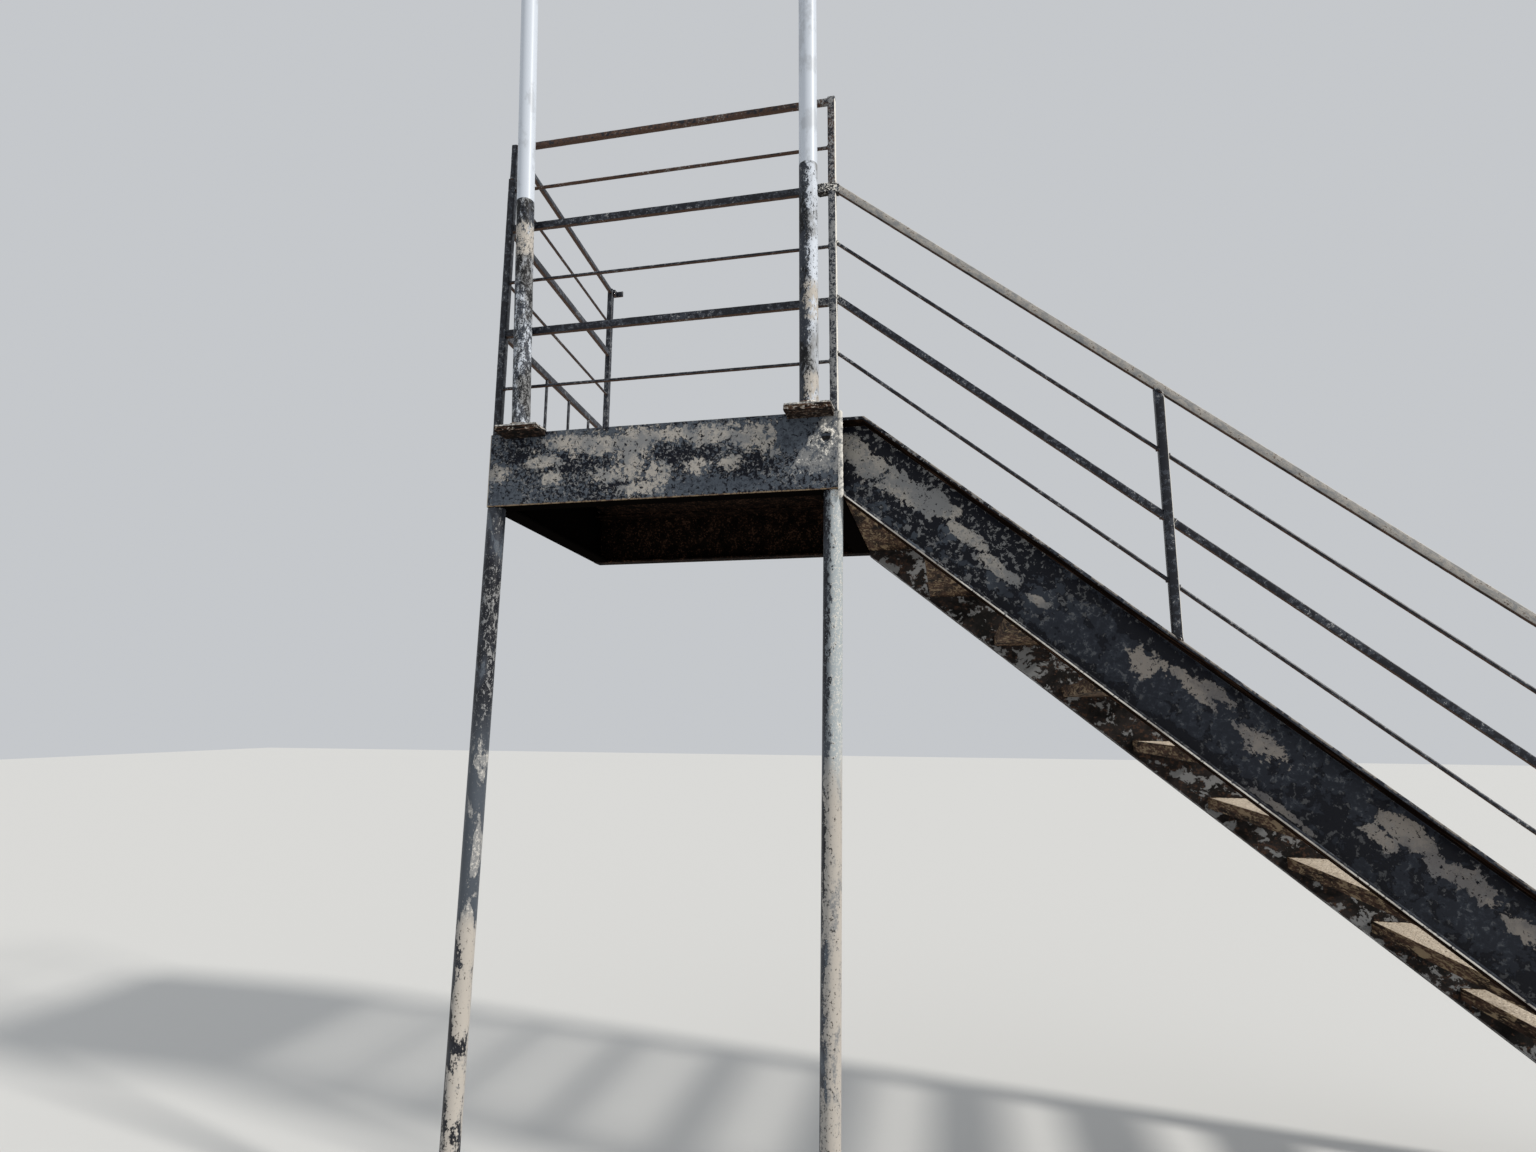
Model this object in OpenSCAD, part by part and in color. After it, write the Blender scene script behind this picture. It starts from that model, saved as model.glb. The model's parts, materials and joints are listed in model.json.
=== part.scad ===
// Fire escape stair: a landing framed in steel channels, held off a wall by two
// pipe posts, and a straight flight of concrete-filled pan treads between two
// channel stringers, with guards of posts, rails and rods.
// Lengths are in mm. X runs along the wall, Y into the wall and Z up.
// Zero is the middle of the wall channel's back face.

/* [Landing] */
// Length of the fascia channel, along the wall
landing_w = 1192; // [950:2:1600]
// Distance from the wall to the front of the fascia
landing_d = 1095; // [850:5:1400]
// How much farther left the landing reaches at the wall than at the front
side_splay = 67; // [0:5:120]
// Depth of the landing channels
channel_h = 254; // [200:2:300]
// Width of the flanges of every channel
flange_w = 66; // [55:1:90]
// Thickness of the web of every channel
web_t = 6; // [5:0.5:10]
// Thickness of the landing channels' flanges at the toe
toe_t = 8; // [6:0.5:12]
// Thickness of the landing channels' flanges at the root
root_t = 13; // [12:0.5:18]
// Clearance round a flange that is cut back to clear another
cope_gap = 1; // [0.5:0.5:3]

/* [Deck and treads] */
// Depth of the pans of the landing and the treads
pan_h = 40; // [35:1:60]
// Thickness of the pan sheet
pan_t = 4; // [3:0.5:6]
// Height of the angles that carry the landing pan
ledger_h = 65; // [40:1:90]
// Width of the angles that carry the landing pan
ledger_w = 90; // [75:1:120]
// Thickness of those angles
ledger_t = 6; // [4:0.5:10]

/* [Flight] */
// Number of risers from the ground to the landing
risers = 12; // [6:1:16]
// Height of one riser
rise = 206; // [170:1:230]
// Going of one step
run = 250; // [210:1:300]
// Depth of a tread from back to nosing
tread_d = 274; // [240:1:330]
// Depth of the stringer channels, square to the slope
stringer_h = 236; // [200:1:300]
// Thickness of the stringers' flanges
stringer_flange = 11; // [8:0.5:16]
// Stringer left below the back of each tread, square to the slope
stringer_cover = 12; // [4:1:30]
// Level top of the stringers below the landing
stringer_drop = 22; // [10:1:60]
// Distance of the stringers' ends past the last nosing
stringer_end = 70; // [10:1:120]
// Gap between the wall and the inner stringer's toes
wall_gap = 4; // [0:1:20]

/* [Posts under the landing] */
// Outside diameter of the pipes
pipe_od = 60.3; // [42:0.1:89]
// Wall of the pipes
pipe_wall = 4; // [3:0.5:6]
// Centre of the left pipe from the fascia's left end
left_pipe_in = 20; // [15:1:80]
// Centre of the right pipe from the fascia's right end
right_pipe_in = 20; // [15:1:80]
// Distance that the pipes' feet stand left of their heads
foot_shift = 30; // [0:1:60]
// Side of the square plate under each pipe
base_side = 150; // [120:5:250]
// Thickness of the plates on the ground
base_t = 10; // [6:1:20]
// Distance between the holes in a plate under a pipe
base_hole_pitch = 110; // [90:5:200]
// Diameter of the holes in the plates on the ground
base_hole_d = 14; // [10:1:24]
// Length of the plate under each stringer's foot
foot_len = 200; // [180:5:300]
// Distance between the two holes in such a plate
foot_hole_pitch = 150; // [146:2:240]

/* [Canopy posts] */
// Height of the canopy posts over the landing
canopy_h = 2200; // [1900:10:2600]
// Centre of the left canopy post's foot from the fascia's left end
left_canopy_in = 129; // [80:1:220]
// Centre of the right canopy post's foot from the fascia's right end
right_canopy_in = 85; // [76:1:220]
// Distance of the canopy posts' centres in front of the fascia face
canopy_out = 32; // [28:1:40]
// Distance that the left canopy post leans left over its height
left_canopy_lean = 82; // [0:5:100]
// Length of a canopy post's bracket, along the fascia
bracket_w = 152; // [100:2:200]
// Thickness of a bracket over the fascia's top
bracket_t = 8; // [5:1:20]
// Depth of a bracket's front below the fascia's top
bracket_lip = 19; // [8:1:40]
// Distance that a bracket reaches in front of the fascia
bracket_out = 75; // [64:1:100]
// Side of the square plate on top of a canopy post
cap_side = 120; // [90:5:160]
// Thickness of the plate on top of a canopy post
cap_t = 8; // [5:1:12]

/* [Guards] */
// Distance of the guards' centre line behind the fascia face
guard_in = 20; // [16:1:40]
// Side of the square guard posts
post_s = 26; // [20:1:40]
// Height of the thick bars round the landing
rail_h = 28; // [20:1:45]
// Height of the raised top rail's bar
raised_rail_h = 22; // [16:1:40]
// Depth of the handrail, square to the slope
handrail_h = 26; // [18:1:40]
// Depth of the stair guard's flat bar, square to the slope
stair_bar_h = 22; // [16:1:40]
// Thickness of the thick bars, across the guard
rail_w = 16; // [8:1:26]
// Diameter of the thin rods of the guards
rod_d = 12; // [8:0.5:18]
// Height of the raised top rail over the landing
top_rail = 1111; // [900:1:1300]
// Height of the raised rod over the landing
raised_rod = 929; // [850:1:1000]
// Height of the first top rail over the landing
old_top = 791; // [700:1:840]
// Height of the upper rod over the landing
upper_rod = 570; // [500:1:650]
// Height of the flat middle bar over the landing
mid_bar = 389; // [300:1:450]
// Height of the lowest rod over the landing
low_rod = 172; // [100:1:250]
// Spacing of the short pickets of the side guard
picket_gap = 225; // [150:1:300]
// Distance of the side guard's wall post from the wall
wall_post_in = 30; // [20:1:60]
// Distance of the left corner post from the fascia's left end
corner_in = 14; // [13:1:40]
// Height of the handrail's top over the stringer
stair_rail = 750; // [650:1:950]
// Height of the stair guard's upper rod over the stringer
stair_rod_1 = 535; // [450:1:640]
// Height of the stair guard's flat bar over the stringer
stair_bar = 353; // [250:1:430]
// Height of the stair guard's lower rod over the stringer
stair_rod_2 = 153; // [90:1:230]
// Number of equal bays of the stair guard
stair_bays = 3; // [2:1:5]

/* [View] */
// Which sub-part to show; all shows them together

/* [Hidden] */
round_fn = 48;
rod_fn = 24;
trim = 400;
foot_edge = 20;

// Landing
x_r = landing_w / 2;
x_l = -landing_w / 2;
y_f = -landing_d;
z_top = channel_h / 2;
z_low = -channel_h / 2;
splay_a = atan(side_splay / landing_d);
flange_skew = flange_w / cos(splay_a);
web_skew = web_t / cos(splay_a);
pan_z = z_top - pan_h;
function left_x(y) = x_l - side_splay * (y - y_f) / landing_d;

// Flight
slope = atan(rise / run);
treads = risers - 1;
ground = z_top - risers * rise;
y_guard = y_f + guard_in;
y_toe = y_guard - post_s / 2;
y_out = y_toe + flange_w;
y_in = -wall_gap - flange_w;
line_low = z_top - rise - pan_h - stringer_cover / cos(slope);
line_top = line_low + stringer_h / cos(slope);
z_level = z_top - stringer_drop;
x_knee = x_r + (line_top - z_level) / tan(slope);
x_end = x_r + run * (treads - 1) + tread_d + stringer_end;
x_heel = x_r + (line_low - ground - base_t) / tan(slope);
function stringer_top(x) = line_top - (x - x_r) * tan(slope);

// Posts
y_pipe = y_f + flange_w / 2;
post_h = z_low - ground - base_t;
y_canopy = y_f - canopy_out;
x_corner = x_l + corner_in;
x_newel = x_r - post_s / 2;
y_wall_post = -wall_post_in;
x_foot = x_end - post_s / 2;
bay = (x_foot - x_newel) / stair_bays;

// Half section of a rolled channel: web along Y from 0, flanges towards +X
module channel_profile(h) {
    polygon([
        [0, -h / 2], [flange_w, -h / 2], [flange_w, toe_t - h / 2],
        [web_t, root_t - h / 2], [web_t, h / 2 - root_t],
        [flange_w, h / 2 - toe_t], [flange_w, h / 2], [0, h / 2]
    ]);
}

// Channel along +X from the origin, its web's outer face on Y = 0
module channel_x(length, h) {
    rotate([90, 0, 90])
        linear_extrude(length) channel_profile(h);
}

// Channel along +Y from the origin, its web's outer face on X = 0, flanges to -X
module channel_y(length, h) {
    rotate([90, 0, 180])
        linear_extrude(length) channel_profile(h);
}

// Room that the flanges of the fascia and the wall channel take
module flange_room() {
    long = landing_w + 2 * trim;
    wide = flange_w + cope_gap;
    high = root_t + cope_gap;
    for (y = [y_f - trim, -wide])
        for (z = [z_low - trim, z_top - high])
            translate([-long / 2, y, z])
                cube([long, wide + trim, high + trim]);
}

module landing_fascia() {
    color("SlateGray")
        translate([x_l, y_f, 0]) channel_x(landing_w, channel_h);
}

module landing_wall_channel() {
    color("DimGray")
        translate([x_l - side_splay, 0, 0])
            mirror([0, 1, 0]) channel_x(landing_w + side_splay, channel_h);
}

module landing_right_channel() {
    color("LightSlateGray")
        difference() {
            translate([x_r, y_f + web_t, 0])
                channel_y(landing_d - 2 * web_t, channel_h);
            flange_room();
        }
}

module landing_left_channel() {
    color("LightSlateGray")
        difference() {
            intersection() {
                translate([x_l, y_f, 0])
                    rotate([0, 0, splay_a])
                        translate([0, -flange_w, 0])
                            mirror([1, 0, 0])
                                channel_y(landing_d / cos(splay_a) + 2 * flange_w, channel_h);
                translate([x_l - trim, y_f + web_t, z_low - trim])
                    cube([2 * trim, landing_d - 2 * web_t, channel_h + 2 * trim]);
            }
            flange_room();
        }
}

// Angle under the landing pan, along X, its upright leg on Y = 0
module ledger(length) {
    rotate([90, 0, 90])
        linear_extrude(length)
            polygon([
                [0, 0], [ledger_w, 0], [ledger_w, -ledger_t],
                [ledger_t, -ledger_t], [ledger_t, -ledger_h], [0, -ledger_h]
            ]);
}

module landing_ledger_front() {
    start = left_x(y_f + web_t) + web_skew;
    color("SaddleBrown")
        translate([start, y_f + web_t, pan_z]) ledger(x_r - web_t - start);
}

module landing_ledger_wall() {
    start = left_x(-web_t - ledger_w) + web_skew;
    color("SaddleBrown")
        translate([start, -web_t, pan_z])
            mirror([0, 1, 0]) ledger(x_r - web_t - start);
}

// Plan of the landing pan, drawn in from the flange toes
module deck_plan(inset) {
    y1 = y_f + flange_w + inset;
    y2 = -flange_w - inset;
    side = flange_skew + inset / cos(splay_a);
    polygon([
        [left_x(y1) + side, y1], [x_r - flange_w - inset, y1],
        [x_r - flange_w - inset, y2], [left_x(y2) + side, y2]
    ]);
}

module landing_pan() {
    color("Sienna")
        difference() {
            translate([0, 0, pan_z]) linear_extrude(pan_h) deck_plan(0);
            translate([0, 0, pan_z + pan_t]) linear_extrude(pan_h) deck_plan(pan_t);
        }
}

module landing_slab() {
    color("LightGray")
        translate([0, 0, pan_z + pan_t])
            linear_extrude(pan_h - pan_t) deck_plan(pan_t);
}

// Side of a stringer: cut plumb at the landing and the foot, level at the head and the plate
module stringer_side() {
    polygon([
        [x_r, line_low], [x_heel, ground + base_t], [x_end, ground + base_t],
        [x_end, stringer_top(x_end)], [x_knee, z_level], [x_r, z_level]
    ]);
}

// Room between the flanges of a stringer, bent at the knee as they are
module stringer_hollow() {
    high = stringer_flange / cos(slope);
    far = x_end + trim;
    polygon([
        [x_r - trim, line_low + high + trim * tan(slope)],
        [far, stringer_top(far) + line_low - line_top + high], [far, stringer_top(far) - high],
        [x_knee - stringer_flange * tan(slope / 2), z_level - stringer_flange],
        [x_r - trim, z_level - stringer_flange]
    ]);
}

// Stringer with its web's outer face on Y = 0 and its flanges towards +Y
module stringer_bar() {
    mirror([0, 1, 0])
        rotate([90, 0, 0]) {
            linear_extrude(web_t) stringer_side();
            linear_extrude(flange_w)
                difference() {
                    stringer_side();
                    stringer_hollow();
                }
        }
}

module stringer_outer() {
    color("SteelBlue")
        translate([0, y_out, 0]) mirror([0, 1, 0]) stringer_bar();
}

module stringer_inner() {
    color("SteelBlue")
        translate([0, y_in, 0]) stringer_bar();
}

// Plate under a stringer's foot, web side on Y = 0
module foot_plate() {
    translate([(x_heel + x_end) / 2, 0, ground])
        difference() {
            translate([-foot_len / 2, -foot_edge, 0])
                cube([foot_len, flange_w + 2 * foot_edge, base_t]);
            for (x = [-foot_hole_pitch / 2, foot_hole_pitch / 2])
                translate([x, flange_w / 2, -base_t])
                    cylinder(d = base_hole_d, h = 3 * base_t, $fn = rod_fn);
        }
}

module foot_plate_outer() {
    color("DarkSlateGray")
        translate([0, y_out, 0]) mirror([0, 1, 0]) foot_plate();
}

module foot_plate_inner() {
    color("DarkSlateGray")
        translate([0, y_in, 0]) foot_plate();
}

// Pressed pan of tread k: floor, back, nosing and end walls
module tread_pan(k) {
    wide = y_in - y_out;
    translate([x_r + run * (k - 1), y_out, z_top - rise * k - pan_h])
        difference() {
            cube([tread_d, wide, pan_h]);
            translate([pan_t, pan_t, pan_t])
                cube([tread_d - 2 * pan_t, wide - 2 * pan_t, pan_h]);
        }
}

// Concrete in the pan of tread k
module tread_fill(k) {
    wide = y_in - y_out;
    translate([x_r + run * (k - 1) + pan_t, y_out + pan_t, z_top - rise * k - pan_h + pan_t])
        cube([tread_d - 2 * pan_t, wide - 2 * pan_t, pan_h - pan_t]);
}

// Pipe from a foot to a head, each [x, z], cut level at both
module leaning_pipe(foot, head, y) {
    lean = atan((head[0] - foot[0]) / (head[1] - foot[1]));
    long = (head[1] - foot[1]) / cos(lean);
    intersection() {
        translate([foot[0], y, foot[1]])
            rotate([0, lean, 0])
                translate([0, 0, -pipe_od])
                    difference() {
                        cylinder(d = pipe_od, h = long + 2 * pipe_od, $fn = round_fn);
                        translate([0, 0, -pipe_od])
                            cylinder(d = pipe_od - 2 * pipe_wall, h = long + 4 * pipe_od, $fn = round_fn);
                    }
        translate([foot[0] - trim, y - trim, foot[1]])
            cube([2 * trim, 2 * trim, head[1] - foot[1]]);
    }
}

// Square plate with a hole near each corner, resting on Z = 0
module holed_plate(side, thick, pitch, hole) {
    difference() {
        translate([-side / 2, -side / 2, 0]) cube([side, side, thick]);
        for (x = [-pitch / 2, pitch / 2])
            for (y = [-pitch / 2, pitch / 2])
                translate([x, y, -thick])
                    cylinder(d = hole, h = 3 * thick, $fn = rod_fn);
    }
}

// Pipe post under the landing, its head centred on x and coped round the stringer
module landing_post(x) {
    difference() {
        leaning_pipe([x - foot_shift, ground + base_t], [x, z_low], y_pipe);
        translate([-cope_gap, y_in, -cope_gap])
            rotate([90, 0, 0]) linear_extrude(y_in - y_f) stringer_side();
    }
    translate([x - foot_shift, y_pipe, ground])
        holed_plate(base_side, base_t, base_hole_pitch, base_hole_d);
}

module post_left() {
    color("Gainsboro") landing_post(x_l + left_pipe_in);
}

module post_right() {
    color("Gainsboro") landing_post(x_r - right_pipe_in);
}

// Pipe with a plate on top that carries the canopy, foot centred on x
module canopy_post(x, lean) {
    z_foot = z_top + bracket_t;
    z_head = z_top + canopy_h - cap_t;
    leaning_pipe([x, z_foot], [x - lean, z_head], y_canopy);
    translate([x - lean, y_canopy, z_head])
        holed_plate(cap_side, cap_t, cap_side - 2 * base_hole_d, base_hole_d);
}

module canopy_post_left() {
    color("WhiteSmoke") canopy_post(x_l + left_canopy_in, left_canopy_lean);
}

module canopy_post_right() {
    color("WhiteSmoke") canopy_post(x_r - right_canopy_in, 0);
}

// Bracket under a canopy post: it laps the fascia's top flange and hangs in front of it
module canopy_bracket(x) {
    translate([x - bracket_w / 2, 0, 0])
        rotate([90, 0, 90])
            linear_extrude(bracket_w)
                polygon([
                    [y_f - bracket_out, z_top - bracket_lip], [y_f, z_top - bracket_lip],
                    [y_f, z_top], [y_toe - cope_gap, z_top],
                    [y_toe - cope_gap, z_top + bracket_t], [y_f - bracket_out, z_top + bracket_t]
                ]);
}

module canopy_bracket_left() {
    color("SaddleBrown") canopy_bracket(x_l + left_canopy_in);
}

module canopy_bracket_right() {
    color("SaddleBrown") canopy_bracket(x_r - right_canopy_in);
}

// Upright square bar centred on x and y
module square_post(x, y, z1, z2) {
    translate([x - post_s / 2, y - post_s / 2, z1])
        cube([post_s, post_s, z2 - z1]);
}

// Thick bar along X with its top at height h over the landing
module level_rail(x1, x2, h, high) {
    translate([x1, y_guard - rail_w / 2, z_top + h - high])
        cube([x2 - x1, rail_w, high]);
}

// Thin rod along X centred at height h over the landing
module level_rod(x1, x2, h) {
    translate([x1, y_guard, z_top + h])
        rotate([0, 90, 0]) cylinder(d = rod_d, h = x2 - x1, $fn = rod_fn);
}

module front_guard() {
    color("MidnightBlue") {
        square_post(x_corner, y_guard, z_top, z_top + top_rail);
        square_post(x_newel, y_guard, z_top, z_top + old_top);
        level_rail(x_corner, x_newel, old_top, rail_h);
        level_rail(x_corner, x_newel, mid_bar, rail_h);
        level_rod(x_corner, x_newel, upper_rod);
        level_rod(x_corner, x_newel, low_rod);
    }
}

module front_guard_extension() {
    x1 = x_corner + post_s / 2;
    color("Navy") {
        level_rail(x1, x_newel + post_s / 2, top_rail, raised_rail_h);
        level_rod(x1, x_newel, raised_rod);
        square_post(x_newel, y_guard, z_top + old_top, z_top + top_rail);
    }
}

// Side guard between the corner post and the wall, skewed with the landing
module side_guard() {
    y0 = y_guard + post_s / 2;
    x_wall = x_corner - side_splay * (y_wall_post - y_guard) / landing_d;
    long = (y_wall_post - y_guard) / cos(splay_a);
    color("DarkBlue") {
        intersection() {
            translate([x_corner, y_guard, z_top])
                rotate([0, 0, splay_a]) {
                    translate([-rail_w / 2, 0, top_rail - raised_rail_h])
                        cube([rail_w, long, raised_rail_h]);
                    for (h = [old_top, mid_bar])
                        translate([-rail_w / 2, 0, h - rail_h])
                            cube([rail_w, long, rail_h]);
                    for (h = [raised_rod, upper_rod])
                        translate([0, 0, h])
                            rotate([-90, 0, 0]) cylinder(d = rod_d, h = long, $fn = rod_fn);
                    for (y = [long - picket_gap : -picket_gap : picket_gap / 2])
                        translate([0, y, 0])
                            cylinder(d = rod_d, h = mid_bar - rail_h / 2, $fn = rod_fn);
                }
            translate([x_corner - trim, y0, z_top])
                cube([2 * trim, landing_d, 3 * trim]);
        }
        square_post(x_wall, y_wall_post, z_top, z_top + top_rail);
        translate([x_wall, y_wall_post, z_top + top_rail - rail_h])
            cube([post_s / 2 + rail_w, wall_post_in, rail_h]);
        translate([x_wall, -rail_w / 2, z_top + top_rail - rail_h])
            cube([post_s * 2, rail_w / 2, rail_h]);
    }
}

// Thick bar parallel to the flight, top h over the stringer, centred on the guard
module sloped_rail(x1, x2, h, depth) {
    high = depth / cos(slope);
    translate([0, y_guard + rail_w / 2, 0])
        rotate([90, 0, 0])
            linear_extrude(rail_w)
                polygon([
                    [x1, stringer_top(x1) + h], [x2, stringer_top(x2) + h],
                    [x2, stringer_top(x2) + h - high], [x1, stringer_top(x1) + h - high]
                ]);
}

// Thin rod parallel to the flight, trimmed plumb at x1 and x2
module sloped_rod(x1, x2, h) {
    intersection() {
        translate([x1, y_guard, stringer_top(x1) + h])
            rotate([0, 90 + slope, 0])
                translate([0, 0, -rod_d])
                    cylinder(d = rod_d, h = (x2 - x1) / cos(slope) + 2 * rod_d, $fn = rod_fn);
        translate([x1, y_guard - rod_d, ground])
            cube([x2 - x1, 2 * rod_d, z_top + 3 * trim - ground]);
    }
}

module stair_guard() {
    x1 = x_newel + post_s / 2;
    color("MidnightBlue") {
        sloped_rail(x1, x_foot + post_s / 2, stair_rail, handrail_h);
        sloped_rail(x1, x_foot, stair_bar, stair_bar_h);
        sloped_rod(x1, x_foot, stair_rod_1);
        sloped_rod(x1, x_foot, stair_rod_2);
        for (i = [1 : stair_bays])
            translate([x_newel + i * bay - post_s / 2, y_guard + post_s / 2, 0])
                rotate([90, 0, 0])
                    linear_extrude(post_s)
                        polygon([
                            [0, stringer_top(x_newel + i * bay - post_s / 2)],
                            [post_s, stringer_top(x_newel + i * bay + post_s / 2)],
                            [post_s, stringer_top(x_newel + i * bay + post_s / 2) + stair_rail - handrail_h],
                            [0, stringer_top(x_newel + i * bay - post_s / 2) + stair_rail - handrail_h]
                        ]);
    }
}

module tread_pan_01() { color("Sienna") tread_pan(1); }
module tread_pan_02() { color("Sienna") tread_pan(2); }
module tread_pan_03() { color("Sienna") tread_pan(3); }
module tread_pan_04() { color("Sienna") tread_pan(4); }
module tread_pan_05() { color("Sienna") tread_pan(5); }
module tread_pan_06() { color("Sienna") tread_pan(6); }
module tread_pan_07() { color("Sienna") tread_pan(7); }
module tread_pan_08() { color("Sienna") tread_pan(8); }
module tread_pan_09() { color("Sienna") tread_pan(9); }
module tread_pan_10() { color("Sienna") tread_pan(10); }
module tread_pan_11() { color("Sienna") tread_pan(11); }
module tread_fill_01() { color("Wheat") tread_fill(1); }
module tread_fill_02() { color("Wheat") tread_fill(2); }
module tread_fill_03() { color("Wheat") tread_fill(3); }
module tread_fill_04() { color("Wheat") tread_fill(4); }
module tread_fill_05() { color("Wheat") tread_fill(5); }
module tread_fill_06() { color("Wheat") tread_fill(6); }
module tread_fill_07() { color("Wheat") tread_fill(7); }
module tread_fill_08() { color("Wheat") tread_fill(8); }
module tread_fill_09() { color("Wheat") tread_fill(9); }
module tread_fill_10() { color("Wheat") tread_fill(10); }
module tread_fill_11() { color("Wheat") tread_fill(11); }

landing_fascia();
landing_left_channel();
landing_right_channel();
landing_wall_channel();
landing_ledger_front();
landing_ledger_wall();
landing_pan();
landing_slab();
stringer_outer();
stringer_inner();
foot_plate_outer();
foot_plate_inner();
tread_pan_01();
tread_pan_02();
tread_pan_03();
tread_pan_04();
tread_pan_05();
tread_pan_06();
tread_pan_07();
tread_pan_08();
tread_pan_09();
tread_pan_10();
tread_pan_11();
tread_fill_01();
tread_fill_02();
tread_fill_03();
tread_fill_04();
tread_fill_05();
tread_fill_06();
tread_fill_07();
tread_fill_08();
tread_fill_09();
tread_fill_10();
tread_fill_11();
post_left();
post_right();
canopy_post_left();
canopy_post_right();
canopy_bracket_left();
canopy_bracket_right();
front_guard();
front_guard_extension();
side_guard();
stair_guard();
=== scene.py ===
"""Fire escape stair: flaking paint, rusted steel, gritty concrete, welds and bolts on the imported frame.

Lengths are in metres in the stair's own frame: X along the landing, Y towards its back, Z up.
"""

import json
import math

import bpy
import numpy as np
from mathutils import Matrix, Vector


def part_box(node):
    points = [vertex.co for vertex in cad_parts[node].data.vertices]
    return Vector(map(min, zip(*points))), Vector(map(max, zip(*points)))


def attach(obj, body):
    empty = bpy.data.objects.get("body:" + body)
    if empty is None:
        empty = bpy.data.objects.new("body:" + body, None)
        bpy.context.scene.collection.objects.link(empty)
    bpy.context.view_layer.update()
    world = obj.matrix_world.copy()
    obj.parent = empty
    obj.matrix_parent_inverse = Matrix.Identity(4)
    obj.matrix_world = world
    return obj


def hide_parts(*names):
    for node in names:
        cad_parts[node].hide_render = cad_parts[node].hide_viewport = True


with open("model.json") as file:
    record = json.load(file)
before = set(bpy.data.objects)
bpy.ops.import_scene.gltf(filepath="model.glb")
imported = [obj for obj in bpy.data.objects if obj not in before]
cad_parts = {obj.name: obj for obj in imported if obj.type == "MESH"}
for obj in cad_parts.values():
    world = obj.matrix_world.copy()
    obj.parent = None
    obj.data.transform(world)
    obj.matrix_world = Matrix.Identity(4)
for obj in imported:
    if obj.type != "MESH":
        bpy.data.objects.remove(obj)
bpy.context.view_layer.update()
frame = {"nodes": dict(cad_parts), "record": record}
nodes = frame["nodes"]

# Directions in the stair's frame
RIGHTWARD, LEFTWARD = (1, 0, 0), (-1, 0, 0)
INWARD, OUTWARD = (0, 1, 0), (0, -1, 0)
UPWARD, DOWNWARD = (0, 0, 1), (0, 0, -1)

# Places on the stair, read from the frame
FASCIA_LOW, FASCIA_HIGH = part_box("landing_fascia")
STRINGER_LOW, STRINGER_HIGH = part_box("stringer_outer")
GUARD_LOW, GUARD_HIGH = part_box("front_guard")
FIRST_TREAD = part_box("tread_pan_01")[1]
LAST_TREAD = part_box("tread_pan_11")[1]
LEFT, FRONT, UNDER = FASCIA_LOW
RIGHT, DECK = FASCIA_HIGH[0], FASCIA_HIGH[2]
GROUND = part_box("post_left")[0][2]
STEPS = 10
RUN = (LAST_TREAD[0] - FIRST_TREAD[0]) / STEPS
RISE = (FIRST_TREAD[2] - LAST_TREAD[2]) / STEPS
SLOPE = math.atan2(RISE, RUN)
SIN, COS, TAN = math.sin(SLOPE), math.cos(SLOPE), math.tan(SLOPE)
DOWN_SLOPE = (COS, 0, -SIN)
OFF_SLOPE = (SIN, 0, COS)
STAIR_END = STRINGER_HIGH[0]
TOE = STRINGER_LOW[1]
GUARD_LINE = (GUARD_LOW[1] + GUARD_HIGH[1]) / 2
POST = GUARD_HIGH[1] - GUARD_LOW[1]
CORNER = GUARD_LOW[0] + POST / 2
NEWEL = GUARD_HIGH[0] - POST / 2

# Heights of the guards' members over the landing, and over the stringer along the flight
RAISED_RAIL = GUARD_HIGH[2] - DECK
OLD_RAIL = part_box("front_guard_extension")[0][2] - DECK
RAISED_ROD = 0.929
UPPER_ROD = 0.570
MIDDLE_BAR = 0.389
LOW_ROD = 0.172
HANDRAIL = 0.750
STAIR_ROD_1 = 0.535
STAIR_BAR = 0.353
STAIR_ROD_2 = 0.153
# Sections of those members, how deep they are dented, and the usual weld round their ends
RAIL_THICK = 0.016
RAIL_DEPTH = 0.028
FLAT_DEPTH = 0.022
HANDRAIL_DEPTH = 0.026
ROD = 0.012
BAR_DENT = 0.0005
ROD_DENT = 0.0003
WELD = 0.003
# Bays of the stair guard, and the side guard's back post and pickets
STAIR_BAYS = 3
BACK_POST_IN = 0.030
PICKET_GAP = 0.225
# The corner post's thinner top piece, and the height where it starts
SPLICE = 0.020
SPLICE_AT = 1.100
# The lump at the handrail's head
HEAD_FROM = 0.534
HEAD_TO = 0.607
HEAD_WIDE = 0.030
HEAD_DEEP = 0.038

# Depth of the stringers across the slope, and how much of their toes shows as a pale line: worn scale and a
# painted highlight
STRINGER_DEEP = 0.236
TOE_SHOWS = 0.005
# The torch-cut hole at the fascia's right end: X and Z of its centre, and its half sizes
HOLE = (0.559, 0.042)
HOLE_WIDE = 0.017
HOLE_HIGH = 0.019
# Where the burnt end starts along X, and X and Z of the two ends of its slanting ridge
BURNT_FROM = 0.395
RIDGE_TOP = (0.578, 0.138)
RIDGE_FOOT = (0.442, -0.062)
# Radius of the rounded edges of channels, and of sheet and angles
CHANNEL_EDGE = 0.002
SHEET_EDGE = 0.001
# Radius of the washers, thickness of the plates on the tall posts, and the anchors of the flight's feet
WASHER = 0.014
CAP_THICK = 0.008
FOOT_ANCHOR = 0.075

# The photograph's camera: focal length in its pixels, its place, and its turns
PHOTO_WIDTH = 1536
FOCAL = 828.4
CAMERA_PLACE = (0.9039, -3.5488, -0.8177)
YAW = 0.21194
PITCH = 0.16802
ROLL = 0.00454
# Where the key light shines from, towards the middle of the stair, and how far the floor reaches
KEY_PLACE = (7, -1.9, 5.4)
FLOOR_REACH = 30.0


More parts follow.
